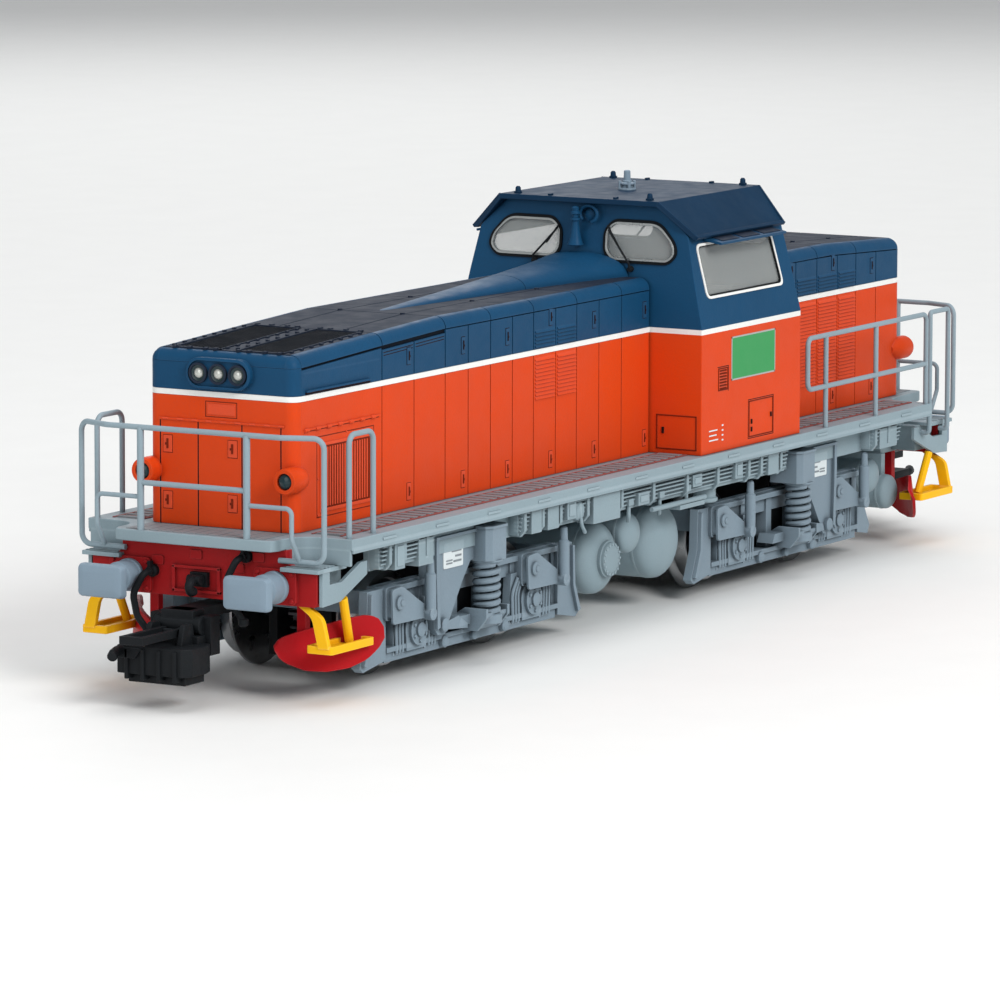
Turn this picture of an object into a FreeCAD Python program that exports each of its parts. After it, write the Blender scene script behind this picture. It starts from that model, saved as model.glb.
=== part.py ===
import FreeCAD, Part
import math
import os
import Sketcher
from FreeCAD import Placement, Rotation, Vector

# H0 scale (1:87) four-axle diesel shunting and line locomotive with two hoods and a cab.
# +X is the long-hood end, +Y the left side, +Z up. Z = 0 is the bottom of the wheel flanges;
# the rail head lies "rail_top" above it. The origin is below the middle of the coupled length.

doc = FreeCAD.newDocument("locomotive")

DIMENSIONS = {
    # running gear
    "rail_top": 1.1,
    "tread_radius": 5.92,
    "flange_radius": 7.02,
    "flange_thick": 0.8,
    "wheel_inner": 7.2,
    "wheel_outer": 9.9,
    "axle_radius": 1.0,
    "bogie_front_at": 42.9,
    "bogie_rear_at": -38.1,
    "half_wheelbase": 13.8,
    "side_plate_inner": 12.0,
    "side_plate_outer": 13.2,
    "side_plate_half": 21.6,
    "side_plate_low": 2.9,
    "side_plate_top": 12.0,
    "bracket_face": 14.6,
    "spring_box_face": 17.6,
    "bracket_top": 16.2,
    # gear train, module 0.5
    "drive_axis": 25.0,
    "worm_wheel_height": 17.5,
    "idler_offset": 8.237,
    "idler_height": 12.773,
    "gear_half": 1.2,
    "worm_half": 4.5,
    # underframe
    "deck_top": 19.6,
    "deck_bottom": 18.5,
    "deck_half": 18.3,
    "deck_front": 78.0,
    "deck_rear": -72.3,
    "platform_end": 84.0,
    "platform_half": 11.1,
    "platform_low": 18.25,
    "sill_low": 14.6,
    "sill_inner": 15.0,
    "sill_outer": 16.4,
    # hoods
    "hood_half": 10.17,
    "long_hood_end": 77.4,
    "short_hood_end": -78.7,
    "hood_top": 41.8,
    "hood_nose_top": 40.3,
    "hood_wall": 1.0,
    "corner_radius": 1.2,
    # cab
    "cab_front": -8.1,
    "cab_rear": -35.0,
    "cab_half": 17.7,
    "cab_waist": 35.7,
    "cab_knee": 42.1,
    "cab_knee_in": 0.4,
    "cab_top_in": 1.3,
    "cab_eave_half": 15.1,
    "cab_eave": 47.3,
    "cab_ridge_half": 11.3,
    "cab_ridge": 50.9,
    "cab_wall": 0.9,
    "roof_thick": 0.7,
    "roof_front": -7.5,
    "roof_rear": -35.0,
    "eave_in": 1.7,
    # ends
    "beam_front": 81.3,
    "beam_thick": 1.7,
    "beam_half": 15.5,
    "beam_low": 11.8,
    "beam_high": 16.1,
    "beam_middle_half": 11.3,
    "buffer_y": 10.0,
    "buffer_z": 14.0,
    "buffer_end": 88.5,
    "coupler_pivot": 74.0,
    # railings
    "rail_radius": 0.33,
    "post_radius": 0.42,
    "loop_radius": 0.28,
    "railing_top": 31.7,
}


class Size:
    """A length: its formula in the sheet's terms, and its value in millimetres."""

    def __init__(self, formula, value):
        self.formula = formula
        self.value = value

    def __add__(self, other):
        return combine(self, "+", other)

    def __radd__(self, other):
        return combine(other, "+", self)

    def __sub__(self, other):
        return combine(self, "-", other)

    def __rsub__(self, other):
        return combine(other, "-", self)

    def __mul__(self, other):
        return combine(self, "*", other)

    def __rmul__(self, other):
        return combine(other, "*", self)

    def __neg__(self):
        return combine(-1, "*", self)


def combine(left, sign, right):
    one, two = as_size(left), as_size(right)
    worked = {"+": one.value + two.value, "-": one.value - two.value, "*": one.value * two.value}
    return Size(f"({one.formula} {sign} {two.formula})", worked[sign])


def as_size(number):
    return number if isinstance(number, Size) else Size(f"{number:.6f}", float(number))


def number_of(length):
    return as_size(length).value


sheet = doc.addObject("Spreadsheet::Sheet", "dims")
for row, (alias, length) in enumerate(DIMENSIONS.items(), start=1):
    sheet.set(f"A{row}", alias)
    sheet.set(f"B{row}", str(length))
    sheet.setAlias(f"B{row}", alias)
doc.recompute()


class Dimensions:
    def __getattr__(self, alias):
        return Size(f"dims.{alias}", DIMENSIONS[alias])


D = Dimensions()
AXES = {"X": Vector(1, 0, 0), "Y": Vector(0, 1, 0), "Z": Vector(0, 0, 1)}
PLANES = {"X": "YZ_Plane", "Y": "XZ_Plane", "Z": "XY_Plane"}
NODES = {}
pocket_pairs = []


def bind(thing, prop, length):
    """Sets a property from a length, and keeps it tied to the sheet where the length is a formula."""
    thing.setExpression(prop, as_size(length).formula)


def node(label, thing):
    """Names the finished sub-part."""
    thing.Label = label
    NODES[label] = thing
    return thing


def place(thing, x, y, z):
    for prop, length in (("x", x), ("y", y), ("z", z)):
        bind(thing, f"Placement.Base.{prop}", length)


def block(x0, x1, y0, y1, z0, z1):
    box = doc.addObject("Part::Box", "block")
    bind(box, "Length", as_size(x1) - x0)
    bind(box, "Width", as_size(y1) - y0)
    bind(box, "Height", as_size(z1) - z0)
    place(box, x0, y0, z0)
    return box


TURNS = {
    "X": Rotation(Vector(0, 1, 0), 90),
    "Y": Rotation(Vector(1, 0, 0), -90),
    "Z": Rotation(),
}


def rod(axis, start, end, centre, radius, end_radius=None):
    """A round bar or cone along an axis; centre is the other two coordinates in X, Y, Z order."""
    kind = "Part::Cylinder" if end_radius is None else "Part::Cone"
    bar = doc.addObject(kind, "rod")
    bar.Placement = Placement(Vector(), TURNS[axis])
    if end_radius is None:
        bind(bar, "Radius", radius)
    else:
        bind(bar, "Radius1", radius)
        bind(bar, "Radius2", end_radius)
    bind(bar, "Height", as_size(end) - start)
    spot = list(centre)
    spot.insert("XYZ".index(axis), start)
    place(bar, *spot)
    return bar


def fuse(*things):
    joined = doc.addObject("Part::MultiFuse", "joined")
    joined.Shapes = list(things)
    joined.Refine = True
    return joined


def cut(base, *tools):
    tool = tools[0] if len(tools) == 1 else fuse(*tools)
    rest = doc.addObject("Part::Cut", "cut")
    rest.Base = base
    rest.Tool = tool
    return rest


def group(*things):
    held = doc.addObject("Part::Compound", "set")
    held.Links = list(things)
    return held


def mirrored(thing, axis):
    """The same piece on the other side of the middle plane across the axis."""
    twin = doc.addObject("Part::Mirroring", "twin")
    twin.Source = thing
    twin.Normal = AXES[axis]
    return twin


def both(thing, axis="Y"):
    return [thing, mirrored(thing, axis)]


def all_four(thing):
    front = both(thing, "Y")
    return front + [mirrored(piece, "X") for piece in front]


def sketch_on(body, axis, offset):
    plane = next(p for p in body.Origin.OriginFeatures if p.Role == PLANES[axis])
    sketch = body.newObject("Sketcher::SketchObject", "outline")
    sketch.AttachmentSupport = [(plane, "")]
    sketch.MapMode = "FlatFace"
    # the XZ plane looks along -Y
    bind(sketch, "AttachmentOffset.Base.z", -as_size(offset) if axis == "Y" else offset)
    return sketch


def draw_polygon(sketch, corners):
    """A closed outline whose every corner is held by two dimensions from the sheet's origin."""
    spots = [Vector(number_of(x), number_of(y), 0) for x, y in corners]
    count = len(spots)
    for index in range(count):
        sketch.addGeometry(Part.LineSegment(spots[index], spots[(index + 1) % count]), False)
    for index in range(count):
        sketch.addConstraint(Sketcher.Constraint("Coincident", index, 2, (index + 1) % count, 1))
    for index, (x, y) in enumerate(corners):
        for kind, length in (("DistanceX", x), ("DistanceY", y)):
            held = Sketcher.Constraint(kind, -1, 1, index, 1, number_of(length))
            number = sketch.addConstraint(held)
            if isinstance(length, Size):
                sketch.setExpression(f"Constraints[{number}]", length.formula)


def new_body():
    return doc.addObject("PartDesign::Body", "body")


def pad(body, axis, start, end, corners):
    """Adds a prism with the given outline, from start to end along the axis."""
    sketch = sketch_on(body, axis, end if axis == "Y" else start)
    draw_polygon(sketch, corners)
    prism = body.newObject("PartDesign::Pad", "pad")
    prism.Profile = sketch
    bind(prism, "Length", as_size(end) - start)
    body.Tip = prism
    return prism


def pocket(body, axis, start, end, corners):
    """Takes a prism away, from start to end along the axis."""
    before = body.Tip
    sketch = sketch_on(body, axis, start if axis == "Y" else end)
    draw_polygon(sketch, corners)
    hollow = body.newObject("PartDesign::Pocket", "pocket")
    hollow.Profile = sketch
    bind(hollow, "Length", as_size(end) - start)
    pocket_pairs.append((hollow, before))
    body.Tip = hollow
    return hollow


def prism_body(axis, start, end, corners):
    body = new_body()
    pad(body, axis, start, end, corners)
    return body


def round_edges(body, radius, wanted):
    """Fillets the edges of the body's tip whose middle point passes the test."""
    doc.recompute()
    tip = body.Tip
    names = []
    for index, edge in enumerate(tip.Shape.Edges, start=1):
        low, high = edge.ParameterRange
        if wanted(edge.valueAt((low + high) / 2), edge):
            names.append(f"Edge{index}")
    rounded = body.newObject("PartDesign::Fillet", "rounded")
    rounded.Base = (tip, names)
    bind(rounded, "Radius", radius)
    body.Tip = rounded
    return rounded


def rectangle(x0, x1, y0, y1):
    return [(x0, y0), (x1, y0), (x1, y1), (x0, y1)]


def mirror_outline(half):
    """A closed outline from its right half, listed from bottom to top."""
    return half + [(-as_size(x), y) for x, y in reversed(half)]


def bent_bar(points, radius, bend):
    """A round wire along straight runs joined by arcs of one bend radius."""
    spots = [Vector(*(number_of(length) for length in point)) for point in points]
    edges = []
    start = spots[0]
    for before, corner, after in zip(spots, spots[1:], spots[2:]):
        back = (before - corner).normalize()
        ahead = (after - corner).normalize()
        half_turn = (math.pi - back.getAngle(ahead)) / 2
        reach = bend * math.tan(half_turn)
        arc_in = corner + back * reach
        arc_out = corner + ahead * reach
        middle = (back + ahead).normalize()
        arc_mid = corner + middle * (bend / math.cos(half_turn) - bend)
        edges.append(Part.LineSegment(start, arc_in).toShape())
        edges.append(Part.Arc(arc_in, arc_mid, arc_out).toShape())
        start = arc_out
    edges.append(Part.LineSegment(start, spots[-1]).toShape())
    path = Part.Wire(edges)
    ring = Part.Wire(Part.Circle(spots[0], spots[1] - spots[0], number_of(radius)).toShape())
    return path.makePipeShell([ring], True, False)


def bar_feature(shapes):
    """One feature from wires bent in space, which no sketch plane holds."""
    feature = doc.addObject("Part::Feature", "bars")
    whole = shapes[0].multiFuse(shapes[1:]) if len(shapes) > 1 else shapes[0]
    feature.Shape = whole
    feature.Placement = Placement()
    return feature


# ---------------------------------------------------------------- underframe

def make_main_frame():
    """Deck, end platforms, side sills and the block that carries motor and tanks."""
    deck_half = [
        (D.platform_end, 0),
        (D.platform_end, D.platform_half - 1.5),
        (D.platform_end - 1.5, D.platform_half),
        (D.deck_front, D.platform_half),
        (D.deck_front, D.deck_half),
        (D.deck_rear, D.deck_half),
        (D.deck_rear, D.platform_half),
        (-D.platform_end + 1.5, D.platform_half),
        (-D.platform_end, D.platform_half - 1.5),
        (-D.platform_end, 0),
    ]
    outline = deck_half + [(x, -as_size(y)) for x, y in reversed(deck_half[1:-1])]
    deck = prism_body("Z", D.deck_bottom, D.deck_top, outline)
    for centre in (D.bogie_front_at, D.bogie_rear_at):
        pocket(deck, "Z", D.deck_bottom - 1, D.deck_top + 1, rectangle(centre - 12, centre + 12, -7.6, 7.6))
    pocket(deck, "Z", D.deck_bottom - 1, D.deck_top + 1, rectangle(-17.5, 22.3, -7.6, 7.6))
    pieces = [deck]
    sill_runs = (
        (54.6, 69.5),
        (D.bogie_rear_at + 4.6, D.bogie_front_at - 4.6),
        (-65.0, D.bogie_rear_at - 10.6),
    )
    for start, end in sill_runs:
        sill = block(start, end, D.sill_inner, D.sill_outer, D.sill_low, D.deck_bottom + 0.1)
        pieces += both(sill)
    pieces.append(block(-12.5, 17.5, -8.2, 8.2, 13.2, 17.6))
    for start, end in ((-12.5, -11.0), (15.2, 17.5)):
        pieces.append(block(start, end, -10.4, 10.4, 13.2, D.deck_bottom + 0.1))
    for side in (-1, 1):
        y0 = min(side * 8.2, side * 9.4)
        pieces.append(block(-12.5, 17.5, y0, y0 + 1.2, 13.2, D.deck_bottom + 0.1))
        y0 = min(side * 9.4, side * 15.2)
        for start in (-6.2, 6.2):
            pieces.append(block(start, start + 1.0, y0, y0 + 5.8, 15.0, D.deck_bottom + 0.1))
    for end in (-1, 1):
        x0 = min(end * 71.5, end * 79.6)
        pieces.append(block(x0, x0 + 8.1, -11.0, 11.0, 12.3, D.deck_bottom + 0.1))
        pieces.append(rod("Z", 9.6, 12.4, (end * D.coupler_pivot, 0), 1.0))
    node("main_frame", fuse(*pieces))


def make_beams():
    """Red buffer beams with a slot for the draw hook."""
    beam = prism_body("X", D.beam_front - D.beam_thick, D.beam_front, mirror_outline([
        (D.beam_half - 0.4, D.beam_low),
        (D.beam_half, D.beam_low + 0.4),
        (D.beam_half, D.beam_high),
        (D.beam_middle_half, D.beam_high),
        (D.beam_middle_half, D.platform_low),
    ]))
    pocket(beam, "X", D.beam_front - 0.9, D.beam_front + 0.1, rectangle(-2.9, 1.9, 13.2, 15.4))
    for side in (-1, 1):
        y0 = side * D.buffer_y
        pad(beam, "X", D.beam_front - 0.2, D.beam_front + 0.5, [
            (y0 - 2.6, D.buffer_z - 2.2), (y0 + 2.6, D.buffer_z - 2.2),
            (y0 + 2.6, D.buffer_z + 2.2), (y0 - 2.6, D.buffer_z + 2.2),
        ])
    node("buffer_beams", group(*both(beam, "X")))


def make_buffers():
    """Shank and wide rounded head, one moulding each."""
    body = new_body()
    pad(body, "X", D.buffer_end - 1.2, D.buffer_end, [
        (D.buffer_y - 3.2, D.buffer_z - 2.0), (D.buffer_y + 3.2, D.buffer_z - 2.0),
        (D.buffer_y + 3.2, D.buffer_z + 2.0), (D.buffer_y - 3.2, D.buffer_z + 2.0),
    ])
    round_edges(body, 0.5, lambda spot, edge: abs(edge.tangentAt(edge.ParameterRange[0]).x) > 0.9)
    shank = rod("X", D.beam_front + 0.5, D.buffer_end - 1.1, (D.buffer_y, D.buffer_z), 1.9, 1.65)
    node("buffers", group(*all_four(fuse(body, shank))))


def make_draw_hooks():
    stem = block(D.beam_front - 0.9, D.beam_front + 1.3, -1.1, 0.4, 13.7, 14.9)
    tip = rod("Y", -1.1, 0.4, (D.beam_front + 1.3, 13.9), 0.95)
    node("draw_hooks", group(*both(fuse(stem, tip), "X")))


def make_brake_hoses():
    """Short stiff hose mouldings with their cocks, two at each end."""
    shapes = []
    for end in (-1, 1):
        for y, top in ((-6.9, 14.4), (6.0, 16.6)):
            x = end * number_of(D.beam_front)
            route = [
                (x, y, top),
                (x + end * 2.0, y, top),
                (x + end * 2.2, y - 0.9, top - 4.0),
                (x + end * 1.4, y - 0.3, top - 7.0),
            ]
            shapes.append(bent_bar(route, 0.4, 0.9))
    feature = doc.addObject("Part::Feature", "hoses")
    feature.Shape = Part.makeCompound(shapes)
    feature.Placement = Placement()
    node("brake_hoses", feature)


def make_corner_steps():
    """Tread and side plate below the deck at each corner."""
    plate = prism_body("Y", 15.6, 16.2, [
        (71.2, 14.4), (77.3, 11.9), (81.2, 11.8), (81.2, 17.6), (71.2, 17.6),
    ])
    tread = block(72.0, 79.5, 11.1, 15.7, 15.9, 16.4)
    riser = block(72.0, 72.6, 11.1, 15.7, 16.3, D.deck_bottom)
    node("corner_steps", group(*all_four(fuse(plate, tread, riser))))


def make_shunter_steps():
    """Yellow foot steps hung below the corner steps."""
    foot = block(73.2, 81.0, 13.9, 17.2, 6.5, 7.1)
    front_post = block(79.9, 80.9, 14.1, 15.1, 7.0, D.beam_low)
    rear_post = block(74.4, 75.4, 16.2, 17.0, 7.0, 14.0)
    node("shunter_steps", group(*all_four(fuse(foot, front_post, rear_post))))


def make_snow_ploughs():
    """Curved blades each side of the coupler."""
    inner, middle, outer = Vector(78.3, 8.2, 0), Vector(75.6, 13.0, 0), Vector(69.4, 16.8, 0)
    arc = Part.Arc(inner, middle, outer)
    thick = 0.55
    face_back = Part.Arc(*(spot - Vector(0.8, 0.6, 0).normalize() * thick for spot in (inner, middle, outer)))
    rim = [
        arc.toShape(),
        Part.LineSegment(outer, face_back.EndPoint).toShape(),
        face_back.toShape(),
        Part.LineSegment(face_back.StartPoint, inner).toShape(),
    ]
    plan = Part.Face(Part.Wire(Part.sortEdges(rim)[0]))
    blade = doc.addObject("Part::Feature", "blade")
    blade.Shape = plan.extrude(Vector(0, 0, 5.2))
    blade.Placement = Placement(Vector(0, 0, 3.5), Rotation())
    hanger = block(75.4, 76.6, 9.4, 10.6, 8.4, 12.3)
    notch = block(72.6, 82.0, 13.5, 18.0, 6.4, 9.0)
    node("snow_ploughs", group(*all_four(cut(fuse(blade, hanger), notch))))


TANKS = (
    # x, z, radius, half length
    (9.4, 8.4, 4.5, 13.9),
    (2.8, 10.8, 2.2, 14.0),
    (-4.2, 8.7, 4.5, 14.0),
    (-65.0, 10.2, 2.2, 13.2),
    (-71.3, 7.3, 2.2, 12.9),
)


def make_air_tanks():
    """Cross-mounted tanks with domed ends, and a bolted flange on the first."""
    tanks = []
    for index, (x, z, radius, half) in enumerate(TANKS):
        dome = radius * 0.32
        parts = [rod("Y", -half + dome, half - dome, (x, z), radius)]
        for side in (-1, 1):
            start = min(side * (half - dome), side * half)
            radii = (radius, radius * 0.6) if side > 0 else (radius * 0.6, radius)
            parts.append(rod("Y", start, start + dome, (x, z), *radii))
        if index == 0:
            parts.append(rod("Y", -half - 0.6, half + 0.6, (x, z), 2.1))
        if index < 3:
            parts.append(block(x - 0.9, x + 0.9, -7.5, 7.5, z + radius - 0.5, 13.2))
        else:
            strap_top = 12.3 if x < -71 else D.deck_bottom
            for y0 in (-10.6, 9.4):
                parts.append(block(x - 0.7, x + 0.7, y0, y0 + 1.2, z + radius - 0.4, strap_top))
        tanks.append(fuse(*parts))
    node("air_tanks", group(*tanks))


def make_equipment_boxes():
    """Boxes, pipes and the step brackets along both sills."""
    pieces = []
    boxes = (
        (13.0, 19.8, 16.4, 17.3, 14.4, 18.2),
        (28.4, 30.6, 16.4, 17.2, 15.2, 17.9),
        (32.0, 34.6, 16.4, 17.2, 15.2, 17.9),
        (-29.6, -26.8, 16.4, 17.2, 15.0, 17.9),
        (57.8, 61.6, 16.4, 17.1, 14.8, 17.9),
        (-63.6, -58.6, 16.4, 17.1, 14.8, 17.9),
    )
    for box in boxes:
        pieces.append(block(*box))
    pipe = rod("X", -33.0, 38.0, (16.75, 17.35), 0.3)
    pieces.append(pipe)
    side = fuse(*pieces)
    node("equipment_boxes", group(*both(side)))


def make_screws():
    """Body screws from below, through the deck into the hoods."""
    screws = []
    for x in (-74.6, 73.0):
        for y in (-6.0, 6.0):
            head = rod("Z", 11.3, 12.3, (x, y), 1.3)
            slot = block(x - 0.2, x + 0.2, y - 1.4, y + 1.4, 11.2, 11.7)
            screws.append(cut(head, slot))
    node("fixing_screws", group(*screws))


# ---------------------------------------------------------------- bodywork

def make_hood(label, outline, inner, nose):
    """A hollow hood from its side outline, with rounded shoulders and nose corners."""
    body = prism_body("Y", -D.hood_half, D.hood_half, outline)
    sign = 1 if nose > 0 else -1

    def is_rounded(spot, edge):
        on_side = abs(abs(spot.y) - number_of(D.hood_half)) < 0.01
        on_top = spot.z > 38.0 and abs(spot.x - number_of(D.cab_front)) > 0.5
        on_nose = abs(spot.x - nose) < 0.01 and 20.0 < spot.z
        runs_up = abs(edge.tangentAt(edge.ParameterRange[0]).z) > 0.9
        top_side = on_side and on_top and not runs_up
        return top_side or (on_nose and (on_side or on_top))

    round_edges(body, D.corner_radius, is_rounded)
    pocket(body, "Y", -D.hood_half + D.hood_wall, D.hood_half - D.hood_wall, inner)
    return node(label, body)


def make_hoods():
    end = D.long_hood_end
    long_outline = [
        (D.cab_front, D.deck_top), (end, D.deck_top), (end, D.hood_nose_top), (57.9, 41.2),
        (43.4, D.hood_top), (D.cab_front, D.hood_top),
    ]
    long_inner = [
        (-9, 19), (end - D.hood_wall, 19), (end - D.hood_wall, D.hood_nose_top - 1.2),
        (57.9, 40.1), (43.4, D.hood_top - 1.1), (-5, D.hood_top - 1.1), (-9, D.hood_top - 1.1),
    ]
    make_hood("long_hood", long_outline, long_inner, number_of(end))
    back = D.short_hood_end
    short_outline = [
        (D.cab_rear, D.deck_top), (D.cab_rear, D.hood_top),
        (-58.0, D.hood_top), (back, D.hood_top - 0.9), (back, D.deck_top),
    ]
    short_inner = [
        (-34, 19), (-34, D.hood_top - 1.1), (-58.0, D.hood_top - 1.1),
        (back + D.hood_wall, D.hood_top - 2.0), (back + D.hood_wall, 19),
    ]
    make_hood("short_hood", short_outline, short_inner, number_of(back))


def make_roof_duct():
    """Raised duct that grows from the middle of the long hood towards the cab."""
    body = prism_body("Y", -6.2, 6.2, [
        (44.0, D.hood_top), (D.cab_front - 0.3, D.hood_top),
        (D.cab_front - 0.3, 44.6), (12.0, 44.3), (40.0, 42.2),
    ])
    for side in (-1, 1):
        pocket(body, "Z", 41, 46, [
            (45, side * 1.6), (12, side * 5.0), (-9, side * 6.15), (-9, side * 7), (45, side * 7),
        ])
    node("roof_duct", body)


def cab_section(shrink):
    """Half outline of the cab across the vehicle, shrunk by a wall thickness."""
    return [
        (D.cab_half - shrink, D.deck_top - (1 if shrink else 0)),
        (D.cab_half - shrink, D.cab_waist),
        (D.cab_eave_half - shrink, D.cab_eave - 0.4 * shrink),
        (D.cab_ridge_half - 0.4 * shrink, D.cab_ridge - shrink),
    ]


WINDOW_SIDE = [(-10.9, 39.3), (-31.5, 39.3), (-30.8, 46.0), (-10.6, 46.0)]


def window_end(grow):
    """Outline of the right-hand end window, wider by grow all round."""
    return [
        (3.4 - grow, 44.9), (4.5, 43.9 - grow), (12.4, 43.9 - grow), (13.4 + grow, 44.9),
        (13.0 + grow, 46.4), (10.9, 48.6 + grow), (4.6, 48.6 + grow), (3.4 - grow, 47.6),
    ]


def make_cab():
    body = prism_body("Y", -D.cab_half, D.cab_half, [
        (D.cab_front, D.deck_top), (D.cab_front, D.cab_waist), (D.cab_front - D.cab_knee_in, D.cab_knee),
        (D.cab_front - D.cab_top_in, D.cab_ridge), (D.cab_rear + D.cab_top_in, D.cab_ridge),
        (D.cab_rear + D.cab_knee_in, D.cab_knee), (D.cab_rear, D.cab_waist), (D.cab_rear, D.deck_top),
    ])
    for side in (-1, 1):
        pocket(body, "X", -45, 0, [
            (side * D.cab_half, D.cab_waist), (side * D.cab_eave_half, D.cab_eave),
            (side * D.cab_ridge_half, D.cab_ridge), (side * D.cab_ridge_half, 53), (side * 20, 53),
            (side * 20, D.cab_waist),
        ])
    # hollow below the knee, then a shorter hollow up into the leaning part
    pocket(body, "X", D.cab_rear + D.cab_wall, D.cab_front - D.cab_wall, mirror_outline([
        (D.cab_half - D.cab_wall, D.deck_top - 1), (D.cab_half - D.cab_wall, D.cab_waist), (15.6, 41.0),
    ]))
    pocket(body, "X", D.cab_rear + 2.2, D.cab_front - 2.2, mirror_outline(cab_section(0.9)))
    pocket(body, "Y", -20, 20, WINDOW_SIDE)
    for side in (-1, 1):
        pocket(body, "X", -45, 0, [(side * y, z) for y, z in window_end(0)])
    # the drive passes below the cab floor, from hood to hood
    pocket(body, "X", -45, 0, rectangle(-9.0, 9.0, 18.6, 32.6))
    node("cab_body", body)


def make_cab_roof():
    body = prism_body("X", D.roof_rear, D.roof_front, mirror_outline([
        (D.cab_ridge_half, D.cab_ridge), (15.55, 47.0), (16.2, 47.3), (11.5, D.cab_ridge + D.roof_thick),
    ]))
    # the sloping sides are cut back towards the eaves
    for end, tip in ((1, D.roof_front), (-1, D.roof_rear)):
        for side in (-1, 1):
            pocket(body, "Z", 45, 53, [
                (tip, side * 11.5), (tip - end * D.eave_in, side * 16.3), (tip - end * D.eave_in, side * 17),
                (tip + end * 1.0, side * 17), (tip + end * 1.0, side * 11.5),
            ])
    parts = [body]
    for x in (-9.0, -34.0):
        for y in (-9.6, 9.6):
            parts.append(rod("Z", D.cab_ridge + 0.5, 52.5, (x, y), 0.45))
    node("cab_roof", fuse(*parts))


def make_cab_details():
    panes = []
    for x0 in (-10.1, -33.6):
        for side in (-1, 1):
            panes.append(prism_body("X", x0, x0 + 0.6, [(side * y, z) for y, z in window_end(-0.05)]))
    for side in (-1, 1):
        panes.append(prism_body("X", -30.75, -11.0, [
            (side * 16.3, 39.6), (side * 14.95, 45.7), (side * 14.45, 45.7), (side * 15.8, 39.6),
        ]))
    node("cab_windows", group(*panes))

    frames = []
    for side in (-1, 1):
        rim = prism_body("X", -30.75, -10.95, [
            (side * 16.95, 39.4), (side * 15.5, 45.9), (side * 15.1, 45.9), (side * 16.55, 39.4),
        ])
        y0 = min(side * 13.0, side * 19.0)
        pocket(rim, "Y", y0, y0 + 6, rectangle(-30.2, -11.5, 39.9, 45.4))
        frames.append(rim)
    node("window_frames", group(*frames))

    visors = prism_body("X", -30.4, -12.7, [(15.32, 46.4), (17.9, 46.0), (17.9, 46.5), (15.22, 46.9)])
    node("sun_visors", group(*both(visors)))

    wipers = []
    for x in (-8.35, -35.1):
        for side in (-1, 1):
            wipers.append(block(x, x + 0.35, side * 8.0 - 0.2, side * 8.0 + 0.2, 43.2, 47.0))
    node("wipers", group(*wipers))

    trumpet = fuse(
        rod("Z", 45.7, 50.3, (-7.7, -0.45), 0.95, 0.45),
        block(-9.2, -7.7, -0.85, -0.05, 49.4, 50.2),
    )
    node("horn", trumpet)

    mast = fuse(
        rod("Z", D.cab_ridge + D.roof_thick, 52.6, (-20.4, 0), 1.0),
        rod("Z", 52.5, 54.1, (-20.4, 0), 0.45),
    )
    node("roof_antenna", mast)

    floor = block(-33.9, -9.2, -16.2, 16.2, 33.2, 34.2)
    desks = [block(-12.6, -9.3, -12.0, 12.0, 34.1, 38.4), block(-33.8, -30.5, -12.0, 12.0, 34.1, 38.4)]
    seats = []
    for x, y in ((-17.0, 7.5), (-26.0, -7.5)):
        seats.append(block(x - 2.2, x + 2.2, y - 2.2, y + 2.2, 34.1, 37.4))
        seats.append(block(x - 2.2, x - 1.2, y - 2.2, y + 2.2, 37.3, 42.0))
    node("cab_interior", fuse(floor, *desks, *seats))


def make_lamps():
    housings, lenses, markers = [], [], []
    housing = fuse(
        block(D.long_hood_end, D.long_hood_end + 0.7, -2.6, 2.6, 36.0, 39.6),
        rod("X", D.long_hood_end, D.long_hood_end + 0.7, (-2.6, 37.8), 1.8),
        rod("X", D.long_hood_end, D.long_hood_end + 0.7, (2.6, 37.8), 1.8),
    )
    rear_housing = fuse(
        block(D.short_hood_end - 0.7, D.short_hood_end, -2.6, 2.6, 36.0, 39.6),
        rod("X", D.short_hood_end - 0.7, D.short_hood_end, (-2.6, 37.8), 1.8),
        rod("X", D.short_hood_end - 0.7, D.short_hood_end, (2.6, 37.8), 1.8),
    )
    holes, rear_holes = [], []
    for y in (-2.7, 0, 2.7):
        holes.append(rod("X", D.long_hood_end - 0.1, D.long_hood_end + 0.9, (y, 37.8), 1.0))
        rear_holes.append(rod("X", D.short_hood_end - 0.9, D.short_hood_end + 0.1, (y, 37.8), 1.0))
        lenses.append(rod("X", D.long_hood_end + 0.05, D.long_hood_end + 0.65, (y, 37.8), 0.97))
        lenses.append(rod("X", D.short_hood_end - 0.65, D.short_hood_end - 0.05, (y, 37.8), 0.97))
    housings.append(cut(housing, *holes))
    housings.append(cut(rear_housing, *rear_holes))
    for x0, x1, face in ((D.long_hood_end, 79.3, 79.3), (-80.6, D.short_hood_end, -80.6)):
        for y in (-9.8, 9.8):
            markers.append(rod("X", x0, x1, (y, 25.9), 1.5))
            lens_start = face if face > 0 else face - 0.4
            lenses.append(rod("X", lens_start, lens_start + 0.4, (y, 25.9), 1.0))
    node("headlamp_housings", group(*housings))
    node("marker_lamps", group(*markers))
    node("lamp_lenses", group(*lenses))


# ---------------------------------------------------------------- railings

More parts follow.
